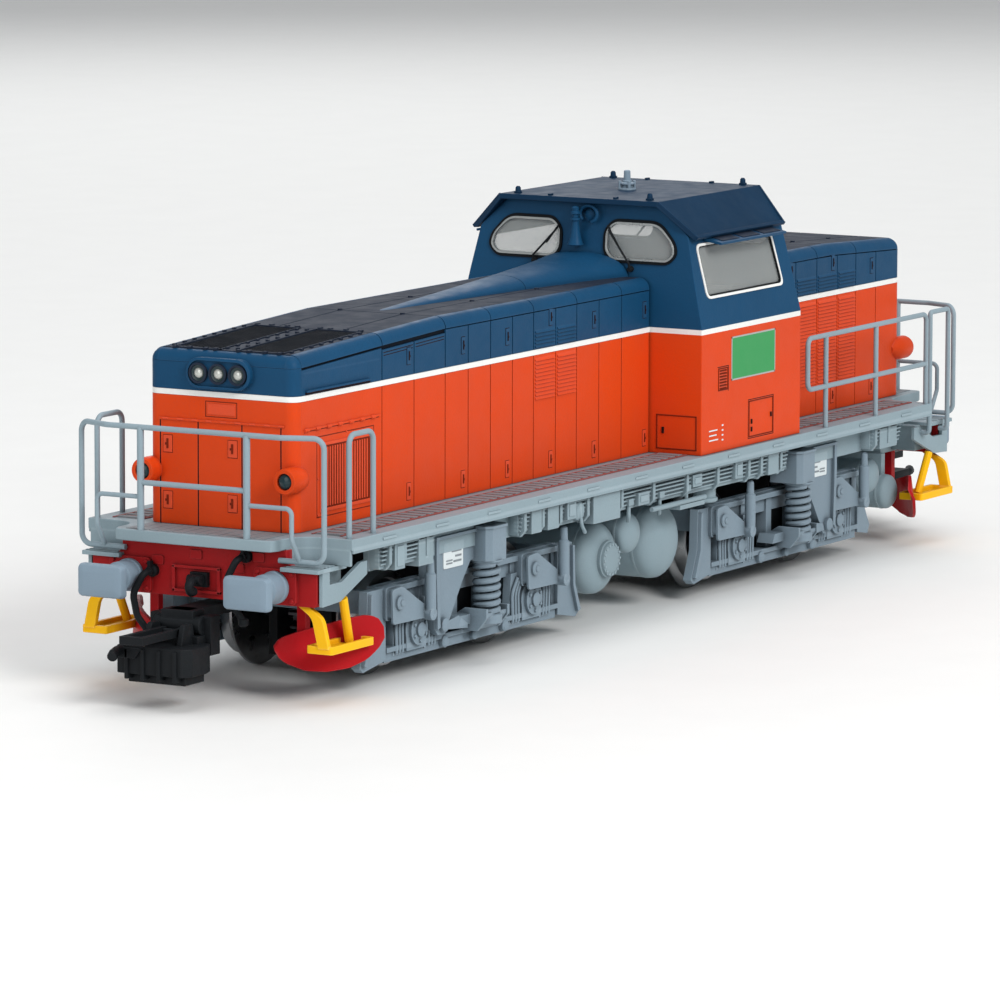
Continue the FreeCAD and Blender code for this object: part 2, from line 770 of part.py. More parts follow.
def make_railings():
    radius = D.rail_radius
    thick = number_of(radius)
    post = number_of(D.post_radius)
    top = number_of(D.railing_top)
    foot = number_of(D.deck_top)
    ends, sides, steps = [], [], []
    for end in (-1, 1):
        x = end * 83.5
        shape = bent_bar([
            (end * 81.7, -10.6, 17.1), (end * 81.7, -16.7, 17.1), (end * 81.7, -16.7, top),
            (x, -12.0, top), (x, 12.0, top), (end * 81.7, 16.7, top), (end * 81.7, 16.7, 17.1),
            (end * 81.7, 10.6, 17.1),
        ], radius, 1.3)
        bars = [shape]
        for y in (-7.3, 7.3):
            bars.append(Part.makeCylinder(post, top - foot, Vector(x, y, foot)))
            side = 1 if y > 0 else -1
            bars.append(bent_bar([(x, y, 23.5), (x, side * 13.4, 23.5), (x, side * 13.4, 19.9),
                                  (end * 81.7, side * 13.4, 17.1)], D.loop_radius, 0.8))
        bars.append(Part.makeCylinder(thick, 14.6, Vector(x, -7.3, 25.2), Vector(0, 1, 0)))
        ends.append(bar_feature(bars))
    node("end_railings", group(*ends))

    for side in (-1, 1):
        y = side * 17.8
        bars = [bent_bar([(-71.2, y, foot), (-71.2, y, top), (-36.9, y, top), (-36.9, y, 25.0),
                          (-71.2, y, 25.0)], radius, 1.0)]
        for x in (-42.0, -56.4):
            bars.append(Part.makeCylinder(thick, top - foot, Vector(x, y, foot)))
        sides.append(bar_feature(bars))
    node("side_railings", group(*sides))

    # the front pair stands on the deck, the rear pair on the step side plates
    for side in (-1, 1):
        y = side * 17.4
        steps.append(bar_feature([bent_bar([
            (71.9, y, foot), (71.9, y, top), (77.3, y, top), (77.3, y, foot),
        ], radius, 1.2)]))
        steps.append(bar_feature([bent_bar([
            (-73.2, side * 16.2, 15.4), (-73.2, y, 15.4), (-73.2, y, top),
            (-78.6, y, top), (-78.6, y, 15.4), (-78.6, side * 16.2, 15.4),
        ], radius, 0.5)]))
    node("step_handrails", group(*steps))


# ---------------------------------------------------------------- drive

def toothed(x, z, teeth, first_angle, half, bore, tooth_half=0.29):
    """A spur gear of module 0.5 about a Y axis, one tooth centred on first_angle in the XZ plane."""
    pitch = 0.25 * teeth
    root, crest = pitch - 0.62, pitch + 0.42
    body = new_body()
    sketch = sketch_on(body, "Y", half)
    sketch.addGeometry(Part.Circle(Vector(), Vector(0, 0, 1), root), False)
    sketch.addConstraint(Sketcher.Constraint("Coincident", 0, 3, -1, 1))
    sketch.addConstraint(Sketcher.Constraint("Radius", 0, root))
    sketch.addGeometry(Part.Circle(Vector(), Vector(0, 0, 1), number_of(bore)), False)
    sketch.addConstraint(Sketcher.Constraint("Coincident", 1, 3, -1, 1))
    hole = sketch.addConstraint(Sketcher.Constraint("Radius", 1, number_of(bore)))
    sketch.setExpression(f"Constraints[{hole}]", as_size(bore).formula)
    disc = body.newObject("PartDesign::Pad", "disc")
    disc.Profile = sketch
    bind(disc, "Length", as_size(half) * 2)
    body.Tip = disc
    tooth = pad(body, "Y", -as_size(half), half, [
        (root - 0.25, -tooth_half - 0.1), (crest, -tooth_half * 0.55),
        (crest, tooth_half * 0.55), (root - 0.25, tooth_half + 0.1),
    ])
    ring = body.newObject("PartDesign::PolarPattern", "teeth")
    ring.Originals = [tooth]
    axis = next(a for a in body.Origin.OriginFeatures if a.Role == "Y_Axis")
    ring.Axis = (axis, [""])
    ring.Angle = 360
    ring.Occurrences = teeth
    body.Tip = ring
    # a turn about -Y carries +X towards +Z
    body.Placement = Placement(Vector(), Rotation(Vector(0, -1, 0), first_angle))
    place(body, x, 0, z)
    return body


def meshing_angle(teeth_a, angle_a, direction, teeth_b):
    """First-tooth angle of gear B that puts its gaps on the teeth of gear A, seen from A's centre."""
    step_a, step_b = 360 / teeth_a, 360 / teeth_b
    along = ((direction - angle_a) / step_a) % 1
    return direction + 180 - (0.5 - along) * step_b


GEARS = {"worm_wheel": 20, "idler": 18, "axle": 14}


def make_bogie(name, centre, outward):
    """All pieces of one bogie; outward is +1 where the vehicle's end lies towards +X."""
    height = D.flange_radius

    # side frames, joined at the ends; the spring box and data plate bracket stand out
    plate = prism_body("Y", D.side_plate_inner, D.side_plate_outer, [
        (-D.side_plate_half, D.side_plate_low), (D.side_plate_half, D.side_plate_low),
        (D.side_plate_half, D.side_plate_top), (-D.side_plate_half, D.side_plate_top),
    ])
    for x0, x1, z0, z1 in ((-9.8, -3.4, 4.7, 8.8), (3.4, 9.8, 4.7, 8.8)):
        pocket(plate, "Y", 11, 14, rectangle(x0, x1, z0, z1))
    for x in (-D.half_wheelbase, D.half_wheelbase):
        hole = rod("Y", 11.9, 12.9, (x, height), 1.06)
        plate = cut(plate, hole)
    side_parts = [plate]
    leg = [(1.7, D.bracket_top), (7.9, D.bracket_top), (8.8, 6.2), (6.6, 6.2), (2.3, 11.0)]
    leg = [(outward * x, z) for x, z in leg]
    side_parts.append(prism_body("Y", D.side_plate_outer - 0.1, D.bracket_face, leg))
    side_parts.append(block(-1.9, 1.9, D.side_plate_outer - 0.1, D.spring_box_face, 12.9, D.bracket_top))
    side_parts.append(block(-2.0, 2.0, D.side_plate_outer - 0.1, 14.5, 11.0, 13.0))
    side_parts.append(rod("Z", 6.4, 13.0, (0, 15.7), 1.4))
    side_parts.append(block(-3.0, 3.0, D.side_plate_outer - 0.1, 17.3, 4.9, 6.6))
    for x in (-D.half_wheelbase, D.half_wheelbase):
        side_parts.append(rod("Y", D.side_plate_outer - 0.1, 14.6, (x, 5.9), 2.1))
    # damper arms point the same way on both bogies
    for arm_at, damper_at in ((18.6, 13.3), (-13.6, -18.9)):
        side_parts.append(block(arm_at - 1.4, arm_at + 1.4, D.side_plate_outer - 0.1, 15.1, 8.2, 11.8))
        side_parts.append(rod("Z", 8.3, 14.1, (damper_at, 15.8), 0.5))
        side_parts.append(block(damper_at - 0.4, arm_at, 14.4, 15.9, 8.1, 9.0))
    for end in (-1, 1):
        side_parts.append(prism_body("Y", D.side_plate_inner, D.side_plate_outer, [
            (end * (D.side_plate_half - 0.1), 3.4), (end * 24.3, 3.4), (end * 24.5, 4.4),
            (end * (D.side_plate_half - 0.1), 7.4),
        ]))
    side = fuse(*side_parts)
    links = []
    for end in (-1, 1):
        x0 = min(end * 20.9, end * 22.0)
        links.append(block(x0, x0 + 1.1, -12.1, 12.1, 8.6, 11.4))
    whole = fuse(*both(side), *links)
    place(whole, centre, 0, 0)
    node(f"bogie_frame_{name}", whole)

    # gearbox: two cheeks, floor, end walls and worm cradle, held in the frame's end links
    cheeks = []
    for side_sign in (-1, 1):
        y0 = min(side_sign * 3.2, side_sign * 4.4)
        cheek = prism_body("Y", y0, y0 + 1.2, [
            (-17.0, 2.7), (17.0, 2.7), (17.0, 10.6), (9.4, 18.2), (7.0, 27.6), (-7.0, 27.6),
            (-9.4, 18.2), (-17.0, 10.6),
        ])
        for x, z, radius in (
                (-D.half_wheelbase, height, 1.06), (D.half_wheelbase, height, 1.06),
                (D.idler_offset, D.idler_height, 0.86), (-D.idler_offset, D.idler_height, 0.86),
                (0, D.worm_wheel_height, 0.86)):
            cheek = cut(cheek, rod("Y", y0 - 1, y0 + 2.2, (x, z), radius))
        cheeks.append(cheek)
    floor = block(-17.0, 17.0, -4.4, 4.4, 1.9, 2.8)
    cradle = []
    for end in (-1, 1):
        x0 = min(end * 5.6, end * 7.0)
        wall = block(x0, x0 + 1.4, -3.3, 3.3, 21.8, 27.6)
        cradle.append(cut(wall, rod("X", x0 - 1, x0 + 2.4, (0, D.drive_axis), 0.86)))
        x1 = min(end * 16.9, end * 20.9)
        cradle.append(block(x1, x1 + 4.0, -4.4, 4.4, 9.7, 10.6))
    cap = block(-7.0, 7.0, -4.4, 4.4, 28.2, 29.0)
    posts = [block(x0, x0 + 1.4, -4.4, 4.4, 27.5, 28.3) for x0 in (-7.0, 5.6)]
    swivel_boss = rod("Z", 28.9, 29.9, (0, 0), 2.6)
    gearbox = fuse(*cheeks, floor, *cradle, cap, *posts, swivel_boss)
    place(gearbox, centre, 0, 0)
    node(f"gearbox_{name}", gearbox)

    # worm, one start, right hand; its thread sits in the gaps of the wheel below
    lead = math.pi * 0.5
    turns = 5
    helix = doc.addObject("Part::Helix", "thread_path")
    helix.Pitch = lead
    helix.Height = lead * turns
    helix.Radius = 2.0
    helix.Placement = Placement(Vector(-lead * turns / 2, 0, 0), Rotation(Vector(0, 1, 0), 90))
    start = helix.Placement.Base.x
    crest = Part.makePolygon([
        Vector(start - 0.36, 0, -1.8), Vector(start - 0.15, 0, -2.9), Vector(start + 0.15, 0, -2.9),
        Vector(start + 0.36, 0, -1.8), Vector(start - 0.36, 0, -1.8),
    ])
    profile = doc.addObject("Part::Feature", "thread_profile")
    profile.Shape = crest
    thread = doc.addObject("Part::Sweep", "thread")
    thread.Sections = [profile]
    thread.Spine = (helix, [])
    thread.Solid = True
    thread.Frenet = True
    inner = -outward
    shaft = rod("X", -7.6, 7.6, (0, 0), 0.8)
    core = rod("X", -D.worm_half, D.worm_half, (0, 0), 1.95)
    cup_start = min(inner * 7.5, inner * 11.2)
    cup = rod("X", cup_start, cup_start + 3.7, (0, 0), 2.3)
    bore_start = min(inner * 8.6, inner * 11.4)
    cup = cut(cup, rod("X", bore_start, bore_start + 2.8, (0, 0), 1.85))
    worm = fuse(core, shaft, cup, thread)
    place(worm, centre, 0, D.drive_axis)
    node(f"worm_{name}", worm)

    # gear train down to both axles
    first = 90.0
    wheel = toothed(centre, D.worm_wheel_height, GEARS["worm_wheel"], first, D.gear_half, 0.7)
    pin = rod("Y", -4.2, 4.2, (centre, D.worm_wheel_height), 0.8)
    node(f"worm_wheel_{name}", fuse(wheel, pin))
    for place_name, along in (("outer", outward), ("inner", -outward)):
        x_idler = D.idler_offset * along
        to_idler = math.degrees(math.atan2(
            number_of(D.idler_height - D.worm_wheel_height), number_of(x_idler)))
        idler_angle = meshing_angle(GEARS["worm_wheel"], first, to_idler, GEARS["idler"])
        idler = toothed(centre + x_idler, D.idler_height, GEARS["idler"], idler_angle, D.gear_half, 0.7)
        pin = rod("Y", -4.2, 4.2, (centre + x_idler, D.idler_height), 0.8)
        node(f"idler_gear_{name}_{place_name}", fuse(idler, pin))
        x_axle = D.half_wheelbase * along
        to_axle = math.degrees(math.atan2(
            number_of(height - D.idler_height), number_of(x_axle - x_idler)))
        axle_angle = meshing_angle(GEARS["idler"], idler_angle, to_axle, GEARS["axle"])
        gear = toothed(centre + x_axle, height, GEARS["axle"], axle_angle, D.gear_half, 0.9)
        axle = rod("Y", -12.8, 12.8, (centre + x_axle, height), D.axle_radius)
        node(f"axle_{name}_{place_name}", fuse(gear, axle))
        wheels = []
        for side_sign in (-1, 1):
            inner_y = side_sign * D.wheel_inner
            flange_y = side_sign * (D.wheel_inner + D.flange_thick)
            outer_y = side_sign * D.wheel_outer
            spans = ((inner_y, flange_y, D.flange_radius), (flange_y, outer_y, D.tread_radius))
            discs = []
            for one, two, radius in spans:
                low, high = sorted((one, two), key=number_of)
                discs.append(rod("Y", low, high, (centre + x_axle, height), radius))
            bore_low = min(side_sign * 7.0, side_sign * 10.0)
            bore = rod("Y", bore_low, bore_low + 3.0, (centre + x_axle, height), D.axle_radius)
            wheels.append(cut(fuse(*discs), bore))
        node(f"wheels_{name}_{place_name}", group(*wheels))


def make_motor():
    """Can motor in the middle, with a flywheel on each end of its shaft."""
    can = rod("X", -9.4, 14.2, (0, D.drive_axis), 7.0)
    flat_left = block(-10, 15, 6.2, 8, 17, 33)
    flat_right = block(-10, 15, -8, -6.2, 17, 33)
    bore = rod("X", -10, 15, (0, D.drive_axis), 0.82)
    foot_front = block(12.0, 14.2, -6.0, 6.0, 17.6, 20.0)
    foot_rear = block(-9.4, -7.2, -6.0, 6.0, 17.6, 20.0)
    node("motor", cut(fuse(can, foot_front, foot_rear), flat_left, flat_right, bore))
    node("motor_shaft", rod("X", -16.9, 21.7, (0, D.drive_axis), 0.75))
    flywheels = []
    for start in (-16.4, 15.2):
        disc = rod("X", start, start + 6.0, (0, D.drive_axis), 6.2)
        flywheels.append(cut(disc, rod("X", start - 1, start + 7, (0, D.drive_axis), 0.75)))
    node("flywheels", group(*flywheels))


def make_cardans():
    """Shafts from the flywheels to the worms; the bogie end floats in its cup."""
    spans = (("front", 22.2, D.bogie_front_at - 9.4), ("rear", D.bogie_rear_at + 9.4, -17.4))
    for name, start, end in spans:
        shaft = rod("X", start, end, (0, D.drive_axis), 0.5)
        hub = rod("X", 22.2, 24.0, (0, D.drive_axis), 1.3)
        ball = rod("X", end - 1.0, end, (0, D.drive_axis), 0.7)
        if name == "rear":
            hub = rod("X", -19.2, -17.4, (0, D.drive_axis), 1.3)
            ball = rod("X", start, start + 1.0, (0, D.drive_axis), 0.7)
        node(f"cardan_{name}", fuse(shaft, hub, ball))


def make_circuit_board():
    """Board with its decoder, on posts above the motor."""
    board = block(20.0, 70.0, -7.6, 7.6, 34.0, 35.0)
    decoder = block(28.0, 50.0, -6.0, 6.0, 34.9, 37.0)
    posts = [block(x, x + 2.0, -7.6, 7.6, D.deck_top, 34.1) for x in (22.6, 66.0)]
    tunnel = rod("X", 21, 26, (0, D.drive_axis), 4.0)
    node("circuit_board", cut(fuse(board, decoder, *posts), tunnel))


# ---------------------------------------------------------------- couplers

def make_couplers():
    """Drawbar with its head, and a loop hinged on the head."""
    for name, end in (("front", 1), ("rear", -1)):
        pivot = end * D.coupler_pivot

        def span(near, far):
            return sorted((end * near, end * far))

        eye = rod("Z", 9.8, 11.4, (pivot, 0), 2.2)
        x0, x1 = span(75.0, 87.0)
        bar = block(x0, x1, -1.6, 1.6, 9.8, 11.2)
        x0, x1 = span(84.6, 87.0)
        neck = block(x0, x1, -2.2, 2.2, 5.0, 11.2)
        x0, x1 = span(86.6, 92.6)
        head = block(x0, x1, -4.6, 4.6, 4.0, 7.4)
        x0, x1 = span(87.4, 91.4)
        foot = block(x0, x1, -4.0, 4.0, 3.0, 4.1)
        x0, x1 = span(92.5, 96.0)
        horn = block(x0, x1, -4.6, -2.6, 5.6, 7.2) if end > 0 else block(x0, x1, 2.6, 4.6, 5.6, 7.2)
        hole = rod("Z", 9.7, 11.5, (pivot, 0), 1.06)
        ears = []
        for y in (-2.6, 1.9):
            x0, x1 = span(87.6, 89.6)
            ears.append(block(x0, x1, y, y + 0.7, 7.3, 9.8))
        pin_hole = rod("Y", -4, 4, (end * 88.6, 8.9), 0.36)
        node(f"coupler_{name}", cut(fuse(eye, bar, neck, head, foot, horn, *ears), hole, pin_hole))
        pin = rod("Y", -2.5, 2.5, (end * 88.6, 8.9), 0.3)
        x0, x1 = span(88.0, 97.0)
        left = block(x0, x1, -1.6, -0.9, 8.4, 9.3)
        right = block(x0, x1, 0.9, 1.6, 8.4, 9.3)
        x0, x1 = span(96.2, 97.0)
        cross = block(x0, x1, -1.6, 1.6, 8.4, 9.3)
        node(f"coupler_loop_{name}", fuse(pin, left, right, cross))


def check_and_write():
    doc.recompute()
    for thing in doc.Objects:
        bad = [state for state in thing.State if state in ("Invalid", "Error")]
        if bad:
            raise RuntimeError(f"{thing.Name} ({thing.Label}) is {bad}")
    for hollow, before in pocket_pairs:
        if hollow.Shape.Volume > before.Shape.Volume - 0.01:
            raise RuntimeError(f"{hollow.Name} took nothing away")
    os.makedirs("parts", exist_ok=True)
    for label, thing in NODES.items():
        shape = thing.Shape
        if shape.isNull() or not shape.isValid() or not shape.Solids:
            raise RuntimeError(f"{label} is not a valid solid")
    for label, thing in NODES.items():
        thing.Shape.exportStep(f"parts/{label}.step")
    print(len(NODES), "sub-parts")


make_main_frame()
make_beams()
make_buffers()
make_draw_hooks()
make_brake_hoses()
make_corner_steps()
make_shunter_steps()
make_snow_ploughs()
make_air_tanks()
make_equipment_boxes()
make_screws()
make_hoods()
make_roof_duct()
make_cab()
make_cab_roof()
make_cab_details()
make_lamps()
make_railings()
make_bogie("front", D.bogie_front_at, 1)
make_bogie("rear", D.bogie_rear_at, -1)
make_motor()
make_cardans()
make_circuit_board()
make_couplers()
check_and_write()
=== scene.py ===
import math

import bmesh
import bpy
from mathutils import Matrix, Vector


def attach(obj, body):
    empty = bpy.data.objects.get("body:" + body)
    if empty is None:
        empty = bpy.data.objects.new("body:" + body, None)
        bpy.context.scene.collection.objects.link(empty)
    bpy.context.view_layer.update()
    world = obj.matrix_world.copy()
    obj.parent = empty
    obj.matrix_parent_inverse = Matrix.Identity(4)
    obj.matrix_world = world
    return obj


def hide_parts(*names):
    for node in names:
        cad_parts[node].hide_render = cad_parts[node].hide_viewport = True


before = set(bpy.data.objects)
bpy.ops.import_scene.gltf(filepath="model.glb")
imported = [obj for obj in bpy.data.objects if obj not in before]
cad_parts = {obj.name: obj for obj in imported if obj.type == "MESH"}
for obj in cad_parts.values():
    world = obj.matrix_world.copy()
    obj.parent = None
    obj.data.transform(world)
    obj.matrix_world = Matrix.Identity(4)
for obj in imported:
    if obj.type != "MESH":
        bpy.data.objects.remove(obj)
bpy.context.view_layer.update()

# A 1:87 model of a four-axle diesel locomotive. Lengths below are millimetres in the CAD frame:
# +X the long-hood end, +Y the left side, Z = 0 the bottom of the wheel flanges.
MM = 0.001

BOGIES = (("front", 42.9, 1), ("rear", -38.1, -1))
HALF_WHEELBASE = 13.8
AXLE_Z = 7.02
DECK = 19.6
HOOD_HALF = 10.17
NOSE, TAIL = 77.4, -78.7
CAB_FRONT, CAB_REAR = -8.1, -35.0
STRIPE = (34.95, 35.6)
LONG_BAYS = (77.4, 57.8, 50.35, 43.0, 37.5, 32.1, 26.75, 21.55, 16.04, 10.73, 5.04, -0.77, -8.0)
SHORT_BAYS = (-35.1, -42.0, -48.0, -54.0, -59.9, -65.3, -71.2, -78.7)
LONG_LOUVRED = (21.55, 16.04)
SHORT_LOUVRED = (-42.0, -48.0, -54.0, -59.9)
FLAP_END = 45
GRILLE_FRONT = 76.0
HOOD_TOP = 41.8
FRONT_KNEE, MID_KNEE, REAR_KNEE = 57.9, 43.4, -58.0
ROLL = 1.4
GAP, SEAM, PANEL = 0.09, 0.03, 0.3
TOP_SEAM = 4.4
CAB_HALF, CAB_SKIN = 17.7, 17.6
HEADLAMP_Z, MARKER_Z, BUFFER_Z = 37.8, 25.9, 13.9
SPRING_Y = 15.9
BOTH = (-1, 1)
HOOD_ENDS = ((1, NOSE), (-1, TAIL))


# ---------------------------------------------------------------- mesh building

class Shape:
    """A mesh under construction, in millimetres."""

    def __init__(self):
        self.bm = bmesh.new()

    def face(self, corners):
        return self.bm.faces.new(corners)

    def loft(self, rings, closed=True, caps=True):
        """Skins a list of rings, each a list of points, and caps the first and last."""
        rows = [[self.bm.verts.new(point) for point in ring] for ring in rings]
        count = len(rows[0])
        last = count if closed else count - 1
        for one, two in zip(rows, rows[1:]):
            for index in range(last):
                after = (index + 1) % count
                self.face((one[index], one[after], two[after], two[index]))
        if caps:
            self.face(list(reversed(rows[0])))
            self.face(rows[-1])
        return self

    def prism(self, axis, start, end, outline):
        """An outline drawn across the axis (the other two coordinates in order), carried along it."""
        spot = "XYZ".index(axis)
        rings = []
        for along in (start, end):
            ring = []
            for pair in outline:
                point = list(pair)
                point.insert(spot, along)
                ring.append(point)
            rings.append(ring)
        return self.loft(rings)

    def box(self, x0, x1, y0, y1, z0, z1):
        return self.prism("Z", z0, z1, [(x0, y0), (x1, y0), (x1, y1), (x0, y1)])

    def turned(self, axis, centre, profile, sides=32, squeeze=(1.0, 1.0)):
        """A turned piece: profile is (along, radius) pairs; centre the other two coordinates."""
        spot = "XYZ".index(axis)
        rings = []
        for along, radius in profile:
            ring = []
            for index in range(sides):
                turn = 2 * math.pi * index / sides
                point = [centre[0] + max(radius, 0.001) * squeeze[0] * math.cos(turn),
                         centre[1] + max(radius, 0.001) * squeeze[1] * math.sin(turn)]
                point.insert(spot, along)
                ring.append(point)
            rings.append(ring)
        return self.loft(rings)

    def wire(self, points, radius, bend=1.0, sides=12):
        """A round bar through the points, its corners rounded."""
        path = rounded_path([Vector(point) for point in points], bend)
        return self.tube(path, radius, sides)

    def tube(self, path, radius, sides=12):
        rings = []
        heading = (path[1] - path[0]).normalized()
        across = heading.orthogonal().normalized()
        for index, spot in enumerate(path):
            before = path[max(index - 1, 0)]
            after = path[min(index + 1, len(path) - 1)]
            ahead = (after - before).normalized()
            across = (across - ahead * across.dot(ahead)).normalized()
            over = ahead.cross(across)
            size = radius[index] if isinstance(radius, (list, tuple)) else radius
            rings.append([
                spot + (across * math.cos(turn) + over * math.sin(turn)) * size
                for turn in (2 * math.pi * step / sides for step in range(sides))
            ])
        return self.loft(rings)

    def bolt(self, axis, centre, start, end, radius):
        """A low hexagon head."""
        low = start + (end - start) * 0.65
        return self.turned(axis, centre, [(start, radius), (low, radius), (end, radius * 0.72)], sides=6)

    def mirror(self, axis):
        """Adds the reflection of everything so far across the middle plane."""
        spot = "XYZ".index(axis)
        made = bmesh.ops.duplicate(self.bm, geom=self.bm.verts[:] + self.bm.edges[:] + self.bm.faces[:])
        for vert in made["geom"]:
            if isinstance(vert, bmesh.types.BMVert):
                vert.co[spot] = -vert.co[spot]
        bmesh.ops.reverse_faces(self.bm,
                                faces=[f for f in made["geom"] if isinstance(f, bmesh.types.BMFace)])
        return self

    def move(self, x, y, z):
        bmesh.ops.translate(self.bm, verts=self.bm.verts, vec=(x, y, z))
        return self


def rounded_path(points, bend, steps=6):
    path = [points[0]]
    for before, corner, after in zip(points, points[1:], points[2:]):
        back, ahead = (before - corner), (after - corner)
        room = min(back.length, ahead.length) * 0.49
        angle = math.pi - back.angle(ahead)
        if angle < 0.02:
            continue
        reach = min(bend * math.tan(angle / 2), room)
        inward, outward = corner + back.normalized() * reach, corner + ahead.normalized() * reach
        for step in range(steps + 1):
            t = step / steps
            path.append(inward * (1 - t) ** 2 + corner * 2 * t * (1 - t) + outward * t ** 2)
    path.append(points[-1])
    return path


def arc(centre, radius, start, end, steps=8):
    """Points round a centre in the plane, angles in degrees."""
    spots = []
    for step in range(steps + 1):
        turn = math.radians(start + (end - start) * step / steps)
        spots.append((centre[0] + radius * math.cos(turn), centre[1] + radius * math.sin(turn)))
    return spots


def rounded_rectangle(x0, x1, y0, y1, radius, steps=5):
    return (arc((x1 - radius, y0 + radius), radius, -90, 0, steps)
            + arc((x1 - radius, y1 - radius), radius, 0, 90, steps)
            + arc((x0 + radius, y1 - radius), radius, 90, 180, steps)
            + arc((x0 + radius, y0 + radius), radius, 180, 270, steps))


def rounded_polygon(corners, radius, steps=5):
    """The corners of a closed outline, each rounded."""
    spots = []
    count = len(corners)
    for index in range(count):
        before, corner, after = (Vector(corners[index - 1]), Vector(corners[index]),
                                 Vector(corners[(index + 1) % count]))
        back, ahead = (before - corner), (after - corner)
        reach = min(radius, back.length * 0.45, ahead.length * 0.45)
        inward, outward = corner + back.normalized() * reach, corner + ahead.normalized() * reach
        for step in range(steps + 1):
            t = step / steps
            spots.append(tuple(inward * (1 - t) ** 2 + corner * 2 * t * (1 - t) + outward * t ** 2))
    return spots


def make_object(name, shape):
    bmesh.ops.recalc_face_normals(shape.bm, faces=shape.bm.faces)
    bmesh.ops.scale(shape.bm, vec=(MM, MM, MM), verts=shape.bm.verts)
    mesh = bpy.data.meshes.new(name)
    shape.bm.to_mesh(mesh)
    shape.bm.free()
    made = bpy.data.objects.new(name, mesh)
    bpy.context.scene.collection.objects.link(made)
    return made


def piece(name, shape, material, body="chassis", replaces=(), bevel=0.08, segments=2, angle=32):
    """Turns a shape into an object of the model that rides on a body."""
    made = make_object(name, shape)
    return dress(made, material, body, replaces, bevel, segments, angle)


def dress(made, material, body="chassis", replaces=(), bevel=0.08, segments=2, angle=32):
    made.data.materials.clear()
    made.data.materials.append(material)
    for polygon in made.data.polygons:
        polygon.use_smooth = True
    if bevel:
        rounding = made.modifiers.new("edges", "BEVEL")
        rounding.width = bevel * MM
        rounding.segments = segments
        rounding.limit_method = "ANGLE"
        rounding.angle_limit = math.radians(angle)
        rounding.harden_normals = True
        rounding.use_clamp_overlap = True
    else:
        made.data.set_sharp_from_angle(angle=math.radians(angle))
    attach(made, body)
    if replaces:
        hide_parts(*replaces)
    return made


def carve(base, *cutters):
    """Takes the cutters out of the base object for good."""
    for cutter in cutters:
        hollow = base.modifiers.new("hollow", "BOOLEAN")
        hollow.operation = "DIFFERENCE"
        hollow.solver = "EXACT"
        hollow.object = cutter
    bpy.context.view_layer.update()
    whole = bpy.data.meshes.new_from_object(base.evaluated_get(bpy.context.evaluated_depsgraph_get()))
    base.modifiers.clear()
    base.data = whole
    for cutter in cutters:
        bpy.data.objects.remove(cutter)
    return base


# ---------------------------------------------------------------- materials

def srgb(text):
    """A colour from its six hex digits, as linear values."""
    parts = [int(text[index:index + 2], 16) / 255 for index in (0, 2, 4)]
    return tuple(c / 12.92 if c <= 0.04045 else ((c + 0.055) / 1.055) ** 2.4 for c in parts) + (1.0,)


def mix_color(tree, low, high, factor):
    mixer = tree.nodes.new("ShaderNodeMix")
    mixer.data_type = "RGBA"
    mixer.blend_type = "MIX"
    for socket, wanted in ((mixer.inputs[6], low), (mixer.inputs[7], high), (mixer.inputs[0], factor)):
        if isinstance(wanted, bpy.types.NodeSocket):
            tree.links.new(wanted, socket)
        else:
            socket.default_value = wanted
    return mixer.outputs[2]


def noise(tree, scale, detail=3.0, rough=0.55, stretch=(1, 1, 1)):
    place = tree.nodes.new("ShaderNodeTexCoord")
    fit = tree.nodes.new("ShaderNodeMapping")
    fit.inputs["Scale"].default_value = stretch
    grain = tree.nodes.new("ShaderNodeTexNoise")
    grain.inputs["Scale"].default_value = scale
    grain.inputs["Detail"].default_value = detail
    grain.inputs["Roughness"].default_value = rough
    tree.links.new(place.outputs["Object"], fit.inputs["Vector"])
    tree.links.new(fit.outputs["Vector"], grain.inputs["Vector"])
    return grain.outputs["Fac"]


def ramp(tree, value, low, high, out_low=0.0, out_high=1.0):
    span = tree.nodes.new("ShaderNodeMapRange")
    span.inputs["From Min"].default_value = low
    span.inputs["From Max"].default_value = high
    span.inputs["To Min"].default_value = out_low
    span.inputs["To Max"].default_value = out_high
    tree.links.new(value, span.inputs["Value"])
    return span.outputs["Result"]


def crevice(tree, distance, inside=False):
    """0 in the open, towards 1 in corners; with inside, towards 1 along outer edges."""
    shade = tree.nodes.new("ShaderNodeAmbientOcclusion")
    shade.samples = 6
    shade.inside = inside
    shade.inputs["Distance"].default_value = distance * MM
    return ramp(tree, shade.outputs["AO"], 0.35, 0.95, 1.0, 0.0)


